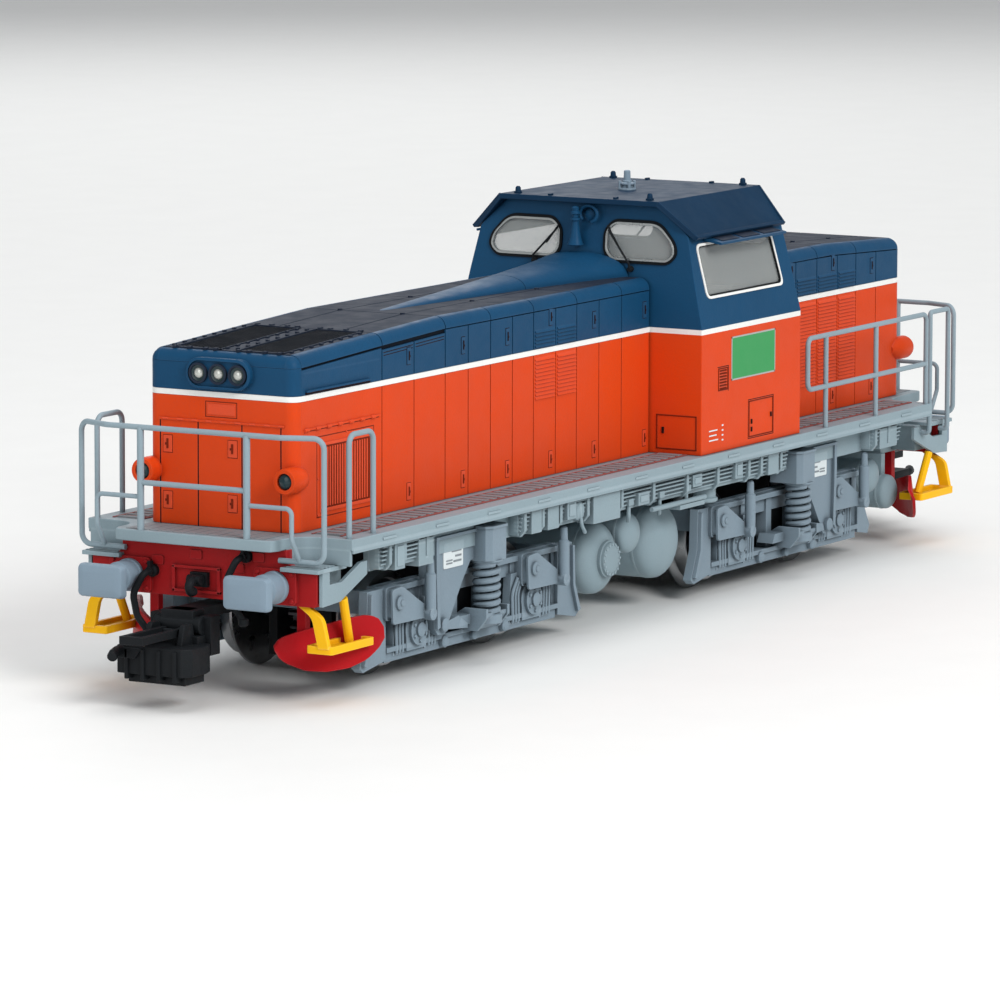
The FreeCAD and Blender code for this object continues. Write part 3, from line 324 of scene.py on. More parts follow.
def finish(name, color, rough=0.45, speck=0.10, grain=0.25, grain_size=0.25, metal=0.0, corner_shade=0.45,
           edge_highlight=0.25, coat=0.0, sheen=0.1, reach=0.7, bands=None):
    """Moulded or painted surface: colour drift, fine grain, painted shade in corners, painted highlight on outer
    edges.

    bands lists (height, colour) pairs: above each height the colour changes."""
    made = bpy.data.materials.new(name)
    made.use_nodes = True
    tree = made.node_tree
    shader = tree.nodes["Principled BSDF"]
    tone = srgb(color)
    base = tone
    if bands:
        place = tree.nodes.new("ShaderNodeTexCoord")
        split = tree.nodes.new("ShaderNodeSeparateXYZ")
        tree.links.new(place.outputs["Object"], split.inputs["Vector"])
        for height, other in bands:
            above = ramp(tree, split.outputs["Z"], (height - 0.02) * MM, (height + 0.02) * MM)
            base = mix_color(tree, base, srgb(other), above)
    drift = ramp(tree, noise(tree, 90.0, 4.0), 0.3, 0.7)
    fine = noise(tree, 1000.0 / grain_size, 2.0, 0.6)
    shift = tree.nodes.new("ShaderNodeHueSaturation")
    shift.inputs["Saturation"].default_value = 0.985
    shift.inputs["Value"].default_value = 1.0 - speck
    if isinstance(base, bpy.types.NodeSocket):
        tree.links.new(base, shift.inputs["Color"])
    else:
        shift.inputs["Color"].default_value = base
    mottled = mix_color(tree, base, shift.outputs["Color"], drift)
    speckled = mix_color(tree, mottled, shift.outputs["Color"], ramp(tree, fine, 0.45, 0.75))
    dark = tree.nodes.new("ShaderNodeHueSaturation")
    dark.inputs["Value"].default_value = 0.28
    tree.links.new(speckled, dark.inputs["Color"])
    # painted shade: the colour darkens towards corners and recesses, within the occlusion reach
    shaded_at = tree.nodes.new("ShaderNodeMath")
    shaded_at.operation = "MULTIPLY"
    shaded_at.inputs[1].default_value = corner_shade
    tree.links.new(crevice(tree, reach), shaded_at.inputs[0])
    shaded = mix_color(tree, speckled, dark.outputs["Color"], shaded_at.outputs[0])
    # painted highlight: the colour pales along outer edges, where light would catch them
    highlighted_at = tree.nodes.new("ShaderNodeMath")
    highlighted_at.operation = "MULTIPLY"
    highlighted_at.inputs[1].default_value = edge_highlight
    tree.links.new(crevice(tree, 0.16, True), highlighted_at.inputs[0])
    pale = tree.nodes.new("ShaderNodeHueSaturation")
    pale.inputs["Saturation"].default_value = 0.8
    pale.inputs["Value"].default_value = 1.6
    tree.links.new(speckled, pale.inputs["Color"])
    highlighted = mix_color(tree, shaded, pale.outputs["Color"], highlighted_at.outputs[0])
    tree.links.new(highlighted, shader.inputs["Base Color"])
    tree.links.new(ramp(tree, noise(tree, 400.0), 0.3, 0.7, rough - 0.06, rough + 0.08),
                   shader.inputs["Roughness"])
    shader.inputs["Metallic"].default_value = metal
    shader.inputs["Specular IOR Level"].default_value = 0.5 if metal else sheen
    shader.inputs["Coat Weight"].default_value = coat
    shader.inputs["Coat Roughness"].default_value = 0.25
    bump = tree.nodes.new("ShaderNodeBump")
    bump.inputs["Strength"].default_value = grain
    bump.inputs["Distance"].default_value = 0.00004
    tree.links.new(fine, bump.inputs["Height"])
    tree.links.new(bump.outputs["Normal"], shader.inputs["Normal"])
    return made


def glass(name, color, alpha=0.28, rough=0.06):
    made = finish(name, color, rough=0.1, speck=0.03, grain=0.03, corner_shade=0.15, edge_highlight=0.0)
    shader = made.node_tree.nodes["Principled BSDF"]
    for link in list(made.node_tree.links):
        if link.to_socket == shader.inputs["Roughness"]:
            made.node_tree.links.remove(link)
    shader.inputs["Roughness"].default_value = rough
    shader.inputs["Alpha"].default_value = alpha
    shader.inputs["Specular IOR Level"].default_value = 0.7
    return made


# In the finishes below, painted shade darkens corners and recesses and a painted highlight pales outer edges;
# the figures set how strong each is.
ORANGE, NAVY, WHITE = "DE440A", "15486C", "F2F2EE"
body_bands = [(STRIPE[0], WHITE), (STRIPE[1], NAVY)]
orange = finish("body_orange", ORANGE, rough=0.42, speck=0.10, grain=0.5, grain_size=0.3, edge_highlight=0.1)
navy = finish("body_navy", NAVY, rough=0.42, speck=0.16, grain=0.45, grain_size=0.3, edge_highlight=0.2)
banded = finish("body_banded", ORANGE, rough=0.42, speck=0.1, grain=0.5, grain_size=0.3, edge_highlight=0.1,
                bands=body_bands)
roof_grey = finish("roof_navy_grey", "262F3F", rough=0.62, speck=0.14, grain=0.5, grain_size=0.35, edge_highlight=0.2)
# A darker copy of the body navy for the cab roof: painted shade on the roof.
roof_navy = finish("cab_roof_navy_painted_shade", "0D314D", rough=0.5, speck=0.16, grain=0.45, grain_size=0.3, edge_highlight=0.2)
groove = finish("groove_dark", "241414", rough=0.7, speck=0.2, edge_highlight=0.0)
groove_orange = finish("groove_orange", "7C2408", rough=0.6, speck=0.15, edge_highlight=0.0)
groove_blue = finish("groove_navy", "0B1420", rough=0.7, speck=0.2, edge_highlight=0.0)
white = finish("stripe_white", WHITE, rough=0.45, speck=0.04, edge_highlight=0.0, corner_shade=0.2)
# The chassis and bogie greys get stronger painted shade that reaches farther into their recesses.
chassis_grey = finish("chassis_grey_paint", "8FA2AA", rough=0.46, speck=0.08, grain=0.3, corner_shade=0.75,
                      reach=1.3)
bogie_grey = finish("bogie_grey_moulding", "8394A0", rough=0.48, speck=0.09, grain=0.35, corner_shade=0.9,
                    reach=2.0)
deck_grey = finish("deck_tread_grey", "848C91", rough=0.6, speck=0.2, grain=0.6, grain_size=0.5)
tread_red = finish("tread_line_red", "93504C", rough=0.6, speck=0.2, grain=0.4)
red = finish("beam_red_paint", "A8181B", rough=0.45, speck=0.1, grain=0.3, corner_shade=0.6)
plough_red = finish("plough_red_paint", "AE0C16", rough=0.42, speck=0.06, grain=0.25, corner_shade=0.3)
yellow = finish("step_yellow_paint", "FFC000", rough=0.4, speck=0.08, grain=0.2, corner_shade=0.45)
black = finish("black_moulding", "1E2124", rough=0.5, speck=0.25, grain=0.4, edge_highlight=0.5)
rail_grey = finish("railing_grey_paint", "8FA1AA", rough=0.4, speck=0.08, grain=0.2, corner_shade=0.4)
buffer_grey = finish("buffer_grey_paint", "8497A6", rough=0.46, speck=0.06, grain=0.25)
steel = finish("bare_steel", "A9ABAD", rough=0.3, speck=0.12, grain=0.15, metal=1.0, edge_highlight=0.1)
dark_steel = finish("dark_steel", "4E4F52", rough=0.38, speck=0.15, grain=0.2, metal=1.0)
brass = finish("brass", "C49A4A", rough=0.3, speck=0.1, grain=0.1, metal=1.0)
board_green = finish("board_green", "1E5A34", rough=0.4, speck=0.12)
gear_plastic = finish("gear_plastic", "D8D4C4", rough=0.4, speck=0.06)
rubber = finish("window_rubber", "14181C", rough=0.55, speck=0.2, edge_highlight=0.1)
silver = finish("silver_rim", "9FA3A2", rough=0.3, speck=0.1, metal=0.7)
interior_grey = finish("interior_grey", "6E7375", rough=0.6, speck=0.1)
panel_edge = finish("panel_edge_pale", "A7A9A6", rough=0.6, speck=0.1)
panel_green = finish("panel_green", "3F9B5B", rough=0.42, speck=0.06, grain=0.2, corner_shade=0.2, edge_highlight=0.0)
plate_white = finish("plate_print_white", "DCE4E6", rough=0.45, speck=0.05, corner_shade=0.2, edge_highlight=0.0)
lens_dark = finish("lens_dark", "123036", rough=0.12, speck=0.1, grain=0.02, coat=0.6)
lens_clear = finish("lens_clear", "C9CBC4", rough=0.12, speck=0.15, grain=0.02, coat=0.6, metal=0.3)
pane = glass("window_glass", "D5DAD8")


# ---------------------------------------------------------------- camera, light, floor

def make_stage():
    azimuth, elevation, roll = (math.radians(angle) for angle in (119.965, 7.867, 0.128))
    back = Vector((math.sin(azimuth) * math.cos(elevation), -math.cos(azimuth) * math.cos(elevation),
                   math.sin(elevation)))
    right = Vector((0, 0, 1)).cross(back).normalized()
    up = back.cross(right)
    right_turned = right * math.cos(roll) + up * math.sin(roll)
    up_turned = up * math.cos(roll) - right * math.sin(roll)
    camera = bpy.data.objects.new("camera", bpy.data.cameras.new("camera"))
    turn = Matrix((right_turned, up_turned, back)).transposed().to_4x4()
    camera.matrix_world = Matrix.Translation(Vector((761.6, 432.1, 134.7)) * MM) @ turn
    camera.data.lens = 251.01
    camera.data.sensor_width = 36
    camera.data.clip_start = 0.05
    camera.data.clip_end = 20
    bpy.context.scene.collection.objects.link(camera)
    bpy.context.scene.camera = camera

    floor_mesh = bpy.data.meshes.new("floor")
    floor_mesh.from_pydata([(-8, -8, 0), (8, -8, 0), (8, 8, 0), (-8, 8, 0)], [], [(0, 1, 2, 3)])
    floor = bpy.data.objects.new("floor", floor_mesh)
    bpy.context.scene.collection.objects.link(floor)
    floor_mesh.materials.append(finish("floor_pale", "F4F4F2", rough=0.7, speck=0.02, corner_shade=0.0, edge_highlight=0.0))

    world = bpy.data.worlds.new("studio")
    bpy.context.scene.world = world
    world.use_nodes = True
    world.node_tree.nodes["Background"].inputs["Color"].default_value = (0.95, 0.97, 1.0, 1)
    world.node_tree.nodes["Background"].inputs["Strength"].default_value = 0.42
    for name, spot, size, power in (
            ("key", (0.4, 0.85, 0.6), 0.45, 7.0),
            ("fill", (0.95, -0.15, 0.3), 0.6, 1.6),
            ("top", (0.0, 0.1, 0.95), 0.8, 3.2),
            ("rim", (-0.7, -0.5, 0.5), 0.6, 1.6)):
        lamp = bpy.data.objects.new(name, bpy.data.lights.new(name, "AREA"))
        lamp.data.shape = "DISK"
        lamp.data.size = size
        lamp.data.energy = power
        lamp.location = spot
        lamp.rotation_mode = "QUATERNION"
        lamp.rotation_quaternion = (Vector(spot) - Vector((0, 0, 0.03))).to_track_quat("Z", "Y")
        bpy.context.scene.collection.objects.link(lamp)
    bpy.context.scene.view_settings.view_transform = "Standard"


# ---------------------------------------------------------------- hoods

def hood_top(x):
    """Height of the flat hood top, which falls towards the nose and the tail."""
    if x > FRONT_KNEE:
        return 41.2 - (x - FRONT_KNEE) * 0.9 / 19.5
    if x > MID_KNEE:
        return HOOD_TOP - (x - MID_KNEE) * 0.6 / 14.5
    if x > REAR_KNEE:
        return HOOD_TOP
    return HOOD_TOP - (REAR_KNEE - x) * 0.9 / 20.7


def shoulder(x):
    """Height where the rounded shoulder of a hood starts."""
    return hood_top(x) - ROLL


def section(x, inset=0.0, low=DECK):
    """Outline of a hood across the vehicle, its shoulders rounded."""
    half, top = HOOD_HALF - inset, hood_top(x) - inset
    radius = ROLL - inset * 0.5
    right = [(half, low)] + arc((half - radius, top - radius), radius, 0, 90, 6)
    return right + [(-y, z) for y, z in reversed(right)]


def make_hood_cores():
    """Dark bodies just behind the panels, which show in the joints."""
    inset, chamfer = 0.25, 1.5
    half = HOOD_HALF - inset
    low, high = Shape(), Shape()
    for (end, tip), cab in zip(HOOD_ENDS, (CAB_FRONT, CAB_REAR)):
        back, flat = tip - end * chamfer, tip - end * inset
        low.prism("Z", DECK, STRIPE[1], [(cab, -half), (back, -half), (flat, -half + chamfer),
                                         (flat, half - chamfer), (back, half), (cab, half)])
    for stops in ((NOSE - chamfer, FRONT_KNEE, MID_KNEE, CAB_FRONT), (CAB_REAR, REAR_KNEE, TAIL + chamfer)):
        high.loft([[(x, y, z) for y, z in section(x, inset, STRIPE[1])] for x in stops])
    piece("hood_cores_low", low, groove, replaces=("long_hood", "short_hood"), bevel=0)
    piece("hood_cores_high", high, groove_blue, bevel=0)


def side_panel(shape, x0, x1, z0, z1):
    """A wall panel between two joints on both sides; z1 is a height or a function of x."""
    rear, front = min(x0, x1) + GAP, max(x0, x1) - GAP
    high_front, high_rear = [z1(x) if callable(z1) else z1 for x in (front, rear)]
    for side in BOTH:
        shape.prism("Y", side * (HOOD_HALF - PANEL), side * HOOD_HALF, [
            (rear, z0 + SEAM), (front, z0 + SEAM), (front, high_front - SEAM), (rear, high_rear - SEAM)])


def louvres(shape, x0, x1, z0, z1, pitch=0.46):
    """Horizontal slats that lean out at the bottom."""
    root, lip = HOOD_HALF - 0.1, HOOD_HALF + 0.2
    count = int((z1 - z0) / pitch)
    for index in range(count):
        z = z0 + (z1 - z0) * index / count
        for side in BOTH:
            shape.prism("X", x0, x1, [
                (side * root, z + pitch * 0.9), (side * root, z), (side * lip, z),
                (side * (lip - 0.03), z + 0.08), (side * (HOOD_HALF + 0.01), z + pitch * 0.8)])


def latch(plate, joint, keyhole, x, z):
    """A small upright plate with a joint round it, a bar and a side pull."""
    skin = HOOD_HALF
    for side in BOTH:
        joint.box(x - 0.5, x + 0.5, side * (skin - 0.2), side * (skin + 0.012), z - 0.08, z + 2.1)
        plate.box(x - 0.42, x + 0.42, side * (skin - 0.1), side * (skin + 0.09), z, z + 2.02)
        keyhole.box(x - 0.1, x + 0.12, side * skin, side * (skin + 0.16), z + 0.5, z + 1.6)
        keyhole.box(x - 0.3, x - 0.1, side * skin, side * (skin + 0.12), z + 0.85, z + 1.1)


def bay_limits(one, two):
    """Front and rear end of a bay's panel, clear of the rounded corners at nose and tail."""
    front, rear = max(one, two), min(one, two)
    if front == NOSE:
        front = NOSE - ROLL + GAP
    if rear == TAIL:
        rear = TAIL + ROLL - GAP
    return front, rear


def flap_grooves(dark, front, rear):
    """Two grooves under the shoulder, below the top flap."""
    front, rear, height = front - 0.3, rear + 0.3, 0.12
    for drop in (1.0, 1.35):
        for side in BOTH:
            line = [(x, side * (HOOD_HALF + 0.01), shoulder(x) - drop + up)
                    for x, up in ((front, 0), (rear, 0), (rear, height), (front, height))]
            dark.loft([line, [(x, y - side * 0.2, z) for x, y, z in line]])


def bay_panels(lower, upper, dark, shade, slats_low, slats_high):
    """The side walls of both hoods bay by bay, with louvres, grooves and latches."""
    for bays, louvred in ((LONG_BAYS, LONG_LOUVRED), (SHORT_BAYS, SHORT_LOUVRED)):
        for index, (one, two) in enumerate(zip(bays, bays[1:])):
            grille_bay = index == 0 and one > 0
            flap_bay = one > FLAP_END and not grille_bay
            front, rear = bay_limits(one, two)
            side_panel(lower, front, rear, DECK, STRIPE[0])
            if one in louvred:
                low_end = 29.4 if one > 0 else 23.6
                louvres(slats_low, rear + 0.35, front - 0.35, low_end, STRIPE[0] - 0.3)
                louvres(slats_high, rear + 0.35, front - 0.35, STRIPE[1] + 0.25, STRIPE[1] + 2.5, 0.42)
            gap = 0.32 if grille_bay else (0.55 if flap_bay else 0.14)
            side_panel(upper, front, rear, STRIPE[1], lambda x, gap=gap: shoulder(x) - gap)
            if flap_bay:
                flap_grooves(dark, front, rear)
            if index % 2 == 1:
                latch(lower, shade, shade, rear + 1.3, 20.6)
                latch(upper, dark, dark, rear + 1.3, 38.3 if one in louvred else 36.9)


def wrap(shape, end, x, z0, z1):
    """The wall round a hood's end between two heights, its corners rounded."""
    plan = arc((x - end * ROLL, HOOD_HALF - ROLL), ROLL, 90, 90 - end * 90, 6)
    plan = plan + [(px, -py) for px, py in reversed(plan)]
    inner = [(px - end * PANEL if abs(px - x) < 0.6 else px, py * (1 - PANEL / HOOD_HALF)) for px,
             py in plan]
    shape.loft([[(px, py, z) for px, py in plan + inner[::-1]] for z in (z0, z1)])


def end_walls(lower, upper, stripe):
    """The white stripe along the sides, then wall and stripe round each hood's end."""
    for x0, x1 in ((CAB_FRONT, NOSE - ROLL), (TAIL + ROLL, CAB_REAR)):
        for side in BOTH:
            stripe.box(x0, x1, side * (HOOD_HALF - PANEL), side * (HOOD_HALF + 0.01), *STRIPE)
    for end, x in HOOD_ENDS:
        wrap(lower, end, x, DECK + SEAM, STRIPE[0] - 0.02)
        wrap(stripe, end, x, *STRIPE)
        wrap(upper, end, x, STRIPE[1] + 0.02, shoulder(x) - 0.02)


def side_rolls(roll):
    """The rounded shoulders, in lengths of two bays with cross joints between them."""
    for bays in (LONG_BAYS, SHORT_BAYS):
        joints = [bays[0], *bays[1:-1:2], bays[-1]]
        for one, two in zip(joints, joints[1:]):
            front = min(max(one, two) - GAP, NOSE - ROLL)
            rear = max(min(one, two) + GAP, TAIL + ROLL)
            knees = [x for x in (FRONT_KNEE, MID_KNEE, REAR_KNEE) if rear < x < front]
            for side in BOTH:
                rings = []
                for x in [front] + knees + [rear]:
                    centre = (HOOD_HALF - ROLL, hood_top(x) - ROLL)
                    outline = arc(centre, ROLL + 0.02, -2, 92, 7) + arc(centre, ROLL - 0.35, 92, -2, 7)
                    rings.append([(x, side * y, z) for y, z in outline])
                roll.loft(rings)


def end_rolls(roll):
    """The roll across each hood's end, and the ball corners beside it."""
    half_count = 6
    for end, x in HOOD_ENDS:
        centre = (x - end * ROLL, hood_top(x) - ROLL)
        level = 0 if end > 0 else 180
        outline = arc(centre, ROLL, level, 90, 7) + arc(centre, ROLL - 0.4, 90, level, 7)
        roll.loft([[(px, (HOOD_HALF - ROLL) * (1 - step / half_count), pz) for px, pz in outline]
                   for step in range(2 * half_count + 1)])
        for side in BOTH:
            ball_corner(roll, end, side, centre)


def ball_corner(roll, end, side, centre):
    """A quarter of a ball, level by level; the last level stops just short of its top."""
    x, z = centre
    y = HOOD_HALF - ROLL
    levels, turns = 7, 9
    rings = []
    for level in range(levels + 1):
        tilt = math.radians(level * 90 / (levels + 0.001))
        out, up = ROLL * math.cos(tilt), ROLL * math.sin(tilt)
        quarter = [math.radians(step * 90 / turns) for step in range(turns + 1)]
        ring = [(x + end * out * math.cos(turn), side * (y + out * math.sin(turn)),
                 z + up) for turn in quarter]
        rings.append(ring + [(x, side * y, z + up * 0.98)])
    roll.loft(rings)


def nose_bay(lower, upper, dark, shade):
    """First bay of the long hood: framed grille with upright ribs, hinge line and flap above it."""
    skin = HOOD_HALF
    for side in BOTH:
        for x0, x1, z0, z1 in ((60.3, 60.7, 21.7, 29.5), (71.6, 72.0, 21.7, 29.5),
                               (60.25, 72.05, 29.3, 29.7),
                               (60.25, 72.05, 21.5, 21.9)):
            lower.box(x0, x1, side * (skin - 0.1), side * (skin + 0.12), z0, z1)
        shade.box(60.65, 71.65, side * (skin - 0.1), side * (skin + 0.01), 21.85, 29.35)
        for index in range(19):
            x = 61.2 + index * 0.56
            lower.box(x, x + 0.26, side * (skin - 0.1), side * (skin + 0.10), 22.1, 29.1)
        lower.box(58.4, 75.4, side * (skin - 0.1), side * (skin + 0.16), 31.42, 31.68)
        shade.box(58.6, 75.2, side * (skin - 0.1), side * (skin + 0.03), 31.3, 31.42)
        for index in range(7):
            x = 59.6 + index * 2.5
            lower.turned("X", (side * (skin + 0.08), 31.5), [(x, 0.24), (x + 0.9, 0.24)], 10)
        for x0, x1, z0, z1 in ((59.7, 72.7, 20.9, 21.02), (59.7, 72.7, 30.4, 30.52),
                               (59.7, 59.82, 20.95, 30.45), (72.58, 72.7, 20.95, 30.45)):
            shade.box(x0, x1, side * (skin - 0.1), side * (skin + 0.02), z0, z1)
        for x, z in ((60.1, 30.0), (66.0, 30.4), (72.4, 30.0), (72.4, 25.5), (60.1, 25.5), (60.1, 21.2),
                     (72.4, 21.2)):
            lower.turned("Y", (x, z), [(side * (skin - 0.1), 0.16), (side * (skin + 0.12), 0.13)], 8)
        upper.box(60.8, 75.2, side * (skin - 0.1), side * (skin + 0.34), 35.95, 36.2)
        dark.box(60.8, 75.2, side * (skin - 0.1), side * (skin + 0.2), 35.72, 35.96)
        dark.box(58.4, 75.6, side * (skin - 0.28), side * (skin - 0.06), 38.15, 38.3)


def end_doors(end, x, lower, dark, shade):
    """Doors in a hood's end wall: joints, hinge line, a small plate and four latches."""
    def out(distance):
        return x + end * distance

    for y in (-8.45, -3.2, 2.85, 8.2):
        dark.box(out(-0.1), out(0.012), y - 0.09, y + 0.09, DECK, 31.9)
    lower.box(out(-0.1), out(0.16), -8.6, 8.4, 31.95, 32.2)
    for index in range(9):
        y = -8.0 + index * 2.0
        lower.turned("Y", (out(0.12), 32.1), [(y, 0.14), (y + 0.7, 0.14)], 8)
    for y0, y1, z0, z1 in ((-2.2, 2.2, 34.4, 34.5), (-2.2, 2.2, 32.6, 32.7), (-2.2, -2.1, 32.65, 34.45),
                           (2.1, 2.2, 32.65, 34.45)):
        shade.box(out(-0.1), out(0.02), y0, y1, z0, z1)
    lower.box(out(-0.1), out(0.08), -1.9, 1.9, 32.9, 34.2)
    for y, z in ((-7.4, 29.1), (1.57, 29.0), (-7.4, 22.45), (1.55, 22.55)):
        shade.box(out(-0.1), out(0.012), y - 0.68, y + 0.68, z - 1.08, z + 1.08)
        lower.box(out(-0.1), out(0.1), y - 0.6, y + 0.6, z - 1.0, z + 1.0)
        shade.box(out(0.0), out(0.17), y - 0.12, y + 0.12, z - 0.55, z + 0.6)
        shade.box(out(0.0), out(0.13), y - 0.34, y - 0.12, z - 0.15, z + 0.12)


def make_hoods():
    make_hood_cores()
    lower, upper, dark, shade, slats_low, slats_high, stripe, roll = (Shape() for _ in range(8))
    bay_panels(lower, upper, dark, shade, slats_low, slats_high)
    end_walls(lower, upper, stripe)
    side_rolls(roll)
    end_rolls(roll)
    nose_bay(lower, upper, dark, shade)
    for end, x in HOOD_ENDS:
        end_doors(end, x, lower, dark, shade)
    piece("hood_shoulders", roll, navy, bevel=0.05)
    piece("hood_panels_orange", lower, orange, bevel=0.05)
    piece("hood_panels_navy", upper, navy, bevel=0.05)
    piece("hood_stripe", stripe, white, bevel=0.02)
    piece("hood_joints_orange", shade, groove_orange, bevel=0.0)
    piece("hood_catches_dark", dark, groove, bevel=0.02)
    piece("hood_louvres_orange", slats_low, orange, bevel=0.03)
    piece("hood_louvres_navy", slats_high, navy, bevel=0.03)


def top_plate(shape, x0, x1, y0, y1, proud=0.02):
    """A flat panel of the hood top that follows its slope."""
    rings = []
    for x in (min(x0, x1) + GAP, max(x0, x1) - GAP):
        low, high = hood_top(x) - PANEL, hood_top(x) + proud
        rings.append([(x, y0 + GAP, low), (x, y1 - GAP, low), (x, y1 - GAP, high), (x, y0 + GAP, high)])
    shape.loft(rings)


def top_plates(plates):
    """Three rows of flat panels; round the grilles only edge and middle strips."""
    edge = HOOD_HALF - ROLL
    columns = ((-edge, -TOP_SEAM), (-TOP_SEAM, TOP_SEAM), (TOP_SEAM, edge))
    for y0, y1 in ((-1.0, 1.0), (-edge, -7.6), (7.6, edge)):
        top_plate(plates, GRILLE_FRONT, LONG_BAYS[1], y0, y1)
    long_rows = (LONG_BAYS[1], MID_KNEE, 26.75, 10.73, CAB_FRONT)
    for a, b in zip(long_rows, long_rows[1:]):
        for y0, y1 in columns:
            top_plate(plates, a, b, y0, y1)
    top_plate(plates, NOSE - ROLL + 0.1, GRILLE_FRONT, -edge, edge)
    short_rows = (CAB_REAR, -45.0, REAR_KNEE, -68.3, TAIL + ROLL - 0.1)
    for a, b in zip(short_rows, short_rows[1:]):
        for y0, y1 in columns:
            top_plate(plates, a, b, y0, y1)


def nose_grilles(plates, grilles):
    """Two dark fields of fine cross ribs, each in a raised frame."""
    first, last, count = 58.6, 75.2, 44
    for y0, y1 in ((-7.6, -1.0), (1.0, 7.6)):
        top_plate(grilles, GRILLE_FRONT, LONG_BAYS[1], y0, y1, proud=-0.12)
        for index in range(count):
            x = first + (last - first) * index / count
            z = hood_top(x)
            grilles.box(x, x + 0.18, y0 + 0.5, y1 - 0.5, z - 0.2, z)
        for a, b in ((y0, y0 + 0.4), (y1 - 0.4, y1)):
            top_plate(plates, GRILLE_FRONT, LONG_BAYS[1], a, b, proud=0.12)
        for a, b in ((75.4, GRILLE_FRONT), (LONG_BAYS[1], 58.4)):
            top_plate(plates, a, b, y0, y1, proud=0.12)


def top_lugs(lugs):
    """Hinge lugs round the grilles, and a knob where the top joints cross."""
    for x in (LONG_BAYS[1], GRILLE_FRONT):
        for y in (-7.2, -5.2, -3.0, -1.6, 1.6, 3.0, 5.2, 7.2):
            z = hood_top(x)
            lugs.box(x - 0.35, x + 0.35, y - 0.22, y + 0.22, z - 0.1, z + 0.24)
    for index in range(8):
        x = 59.4 + index * 2.2
        for y in (-8.1, -0.7, 0.7, 8.1):
            lugs.box(x - 0.22, x + 0.22, y - 0.2, y + 0.2, hood_top(x) - 0.1, hood_top(x) + 0.22)
    for x in (MID_KNEE, 26.75, 10.73, -45.0, REAR_KNEE, -68.3):
        for y in (-TOP_SEAM, TOP_SEAM):
            lugs.turned("Z", (x, y), [(hood_top(x) - 0.1, 0.35), (hood_top(x) + 0.2, 0.3)], 10)


def make_duct():
    """The long duct on the hood, in two lengths; stations are (x, half width, rise)."""
    joint = 11.7
    stations = ((46.0, 0.25, 0.03), (36.0, 1.1, 0.45), (27.0, 2.1, 0.9), (19.0, 2.8, 1.35),
                (joint, 3.4, 1.8),
                (5.0, 4.3, 2.2), (0.0, 5.0, 2.5), (-4.0, 5.8, 2.75), (-8.3, 6.9, 3.05))
    duct = Shape()
    for way in (1, -1):
        rings = []
        for x, half, rise in stations:
            if (x - joint) * way < 0:
                continue
            shift = way * 0.08 if x == joint else 0.0
            half_circle = [math.pi * step / 20 for step in range(21)]
            rings.append([(x + shift, half * math.cos(t), hood_top(x) - 0.15 + rise * math.sin(t) ** 0.85)
                          for t in half_circle])
        duct.loft(rings)
    piece("roof_duct_shell", duct, navy, replaces=("roof_duct",), bevel=0.05)


def make_hood_tops():
    plates, grilles, lugs = Shape(), Shape(), Shape()
    top_plates(plates)
    nose_grilles(plates, grilles)
    top_lugs(lugs)
    piece("hood_top_plates", plates, roof_grey, bevel=0.05)
    piece("hood_nose_grilles", grilles, groove_blue, bevel=0.0)
    piece("hood_top_lugs", lugs, roof_grey, bevel=0.04)
    make_duct()


# ---------------------------------------------------------------- cab

WAIST, KNEE = 35.7, 42.1
SIDE_TOP = (15.1, 47.3)
RIDGE = (11.3, 50.9)


def side_y(z):
    """Half width of the cab at a height."""
    if z < WAIST:
        return CAB_HALF
    if z < SIDE_TOP[1]:
        return CAB_HALF - (z - WAIST) * (CAB_HALF - SIDE_TOP[0]) / (SIDE_TOP[1] - WAIST)
    return SIDE_TOP[0] - (z - SIDE_TOP[1]) * (SIDE_TOP[0] - RIDGE[0]) / (RIDGE[1] - SIDE_TOP[1])


def end_x(z, front=True):
    """X of the cab's end wall at a height; it leans in above the waist, and more above the knee."""
    if z < WAIST:
        lean = 0.0
    elif z < KNEE:
        lean = (z - WAIST) * 0.4 / 6.4
    else:
        lean = 0.4 + (z - KNEE) * 0.9 / 8.8
    return CAB_FRONT - lean if front else CAB_REAR + lean


def end_window(grow, radius):
    """Outline (y, z) of the windows in the end walls."""
    part = grow * 0.4
    return rounded_polygon([
        (3.4 - grow, 44.9 - part), (4.4 - part, 43.9 - grow), (12.4 + part, 43.9 - grow), (13.4 + grow,
                                                                                           44.9),
        (13.0 + grow, 46.4), (10.9 + part, 48.6 + grow), (4.5 - part, 48.6 + grow), (3.4 - grow,
                                                                                     47.5)], radius)


def side_window(grow, radius):
    """Outline (x, z) of the windows in the side walls."""
    return rounded_polygon([(-11.1 + grow, 39.5 - grow), (-31.3 - grow, 39.5 - grow),
                            (-30.5 - grow, 45.9 + grow), (-10.7 + grow, 45.9 + grow)], radius)


def cab_ring(z, inset=0.0):
    y = side_y(z) - inset
    front, rear = end_x(z) - inset, end_x(z, False) + inset
    return [(front, y, z), (rear, y, z), (rear, -y, z), (front, -y, z)]


def make_cab_shell():
    """The cab's walls, hollow, with its windows and a tunnel for the hoods cut out."""
    levels = (WAIST, KNEE, SIDE_TOP[1])
    shell = make_object("cab_shell", Shape().loft([cab_ring(z) for z in (DECK, *levels, RIDGE[1])]))
    wall, top = 0.8, RIDGE[1] - 0.7
    cutters = [make_object("cut_inside",
                           Shape().loft([cab_ring(z, wall) for z in (DECK - 1, *levels, top)]))]
    for side in BOTH:
        outline = [(side * y, z) for y, z in end_window(0.0, 0.9)]
        cutters.append(make_object("cut_end", Shape().prism("X", -40, 0, outline)))
    cutters.append(make_object("cut_side", Shape().prism("Y", -20, 20, side_window(0.0, 0.8))))
    cutters.append(make_object("cut_tunnel", Shape().box(-45, 0, -9.0, 9.0, 18.6, 32.6)))
    carve(shell, *cutters)
    dress(shell, banded, replaces=("cab_body",), bevel=0.12, angle=12)


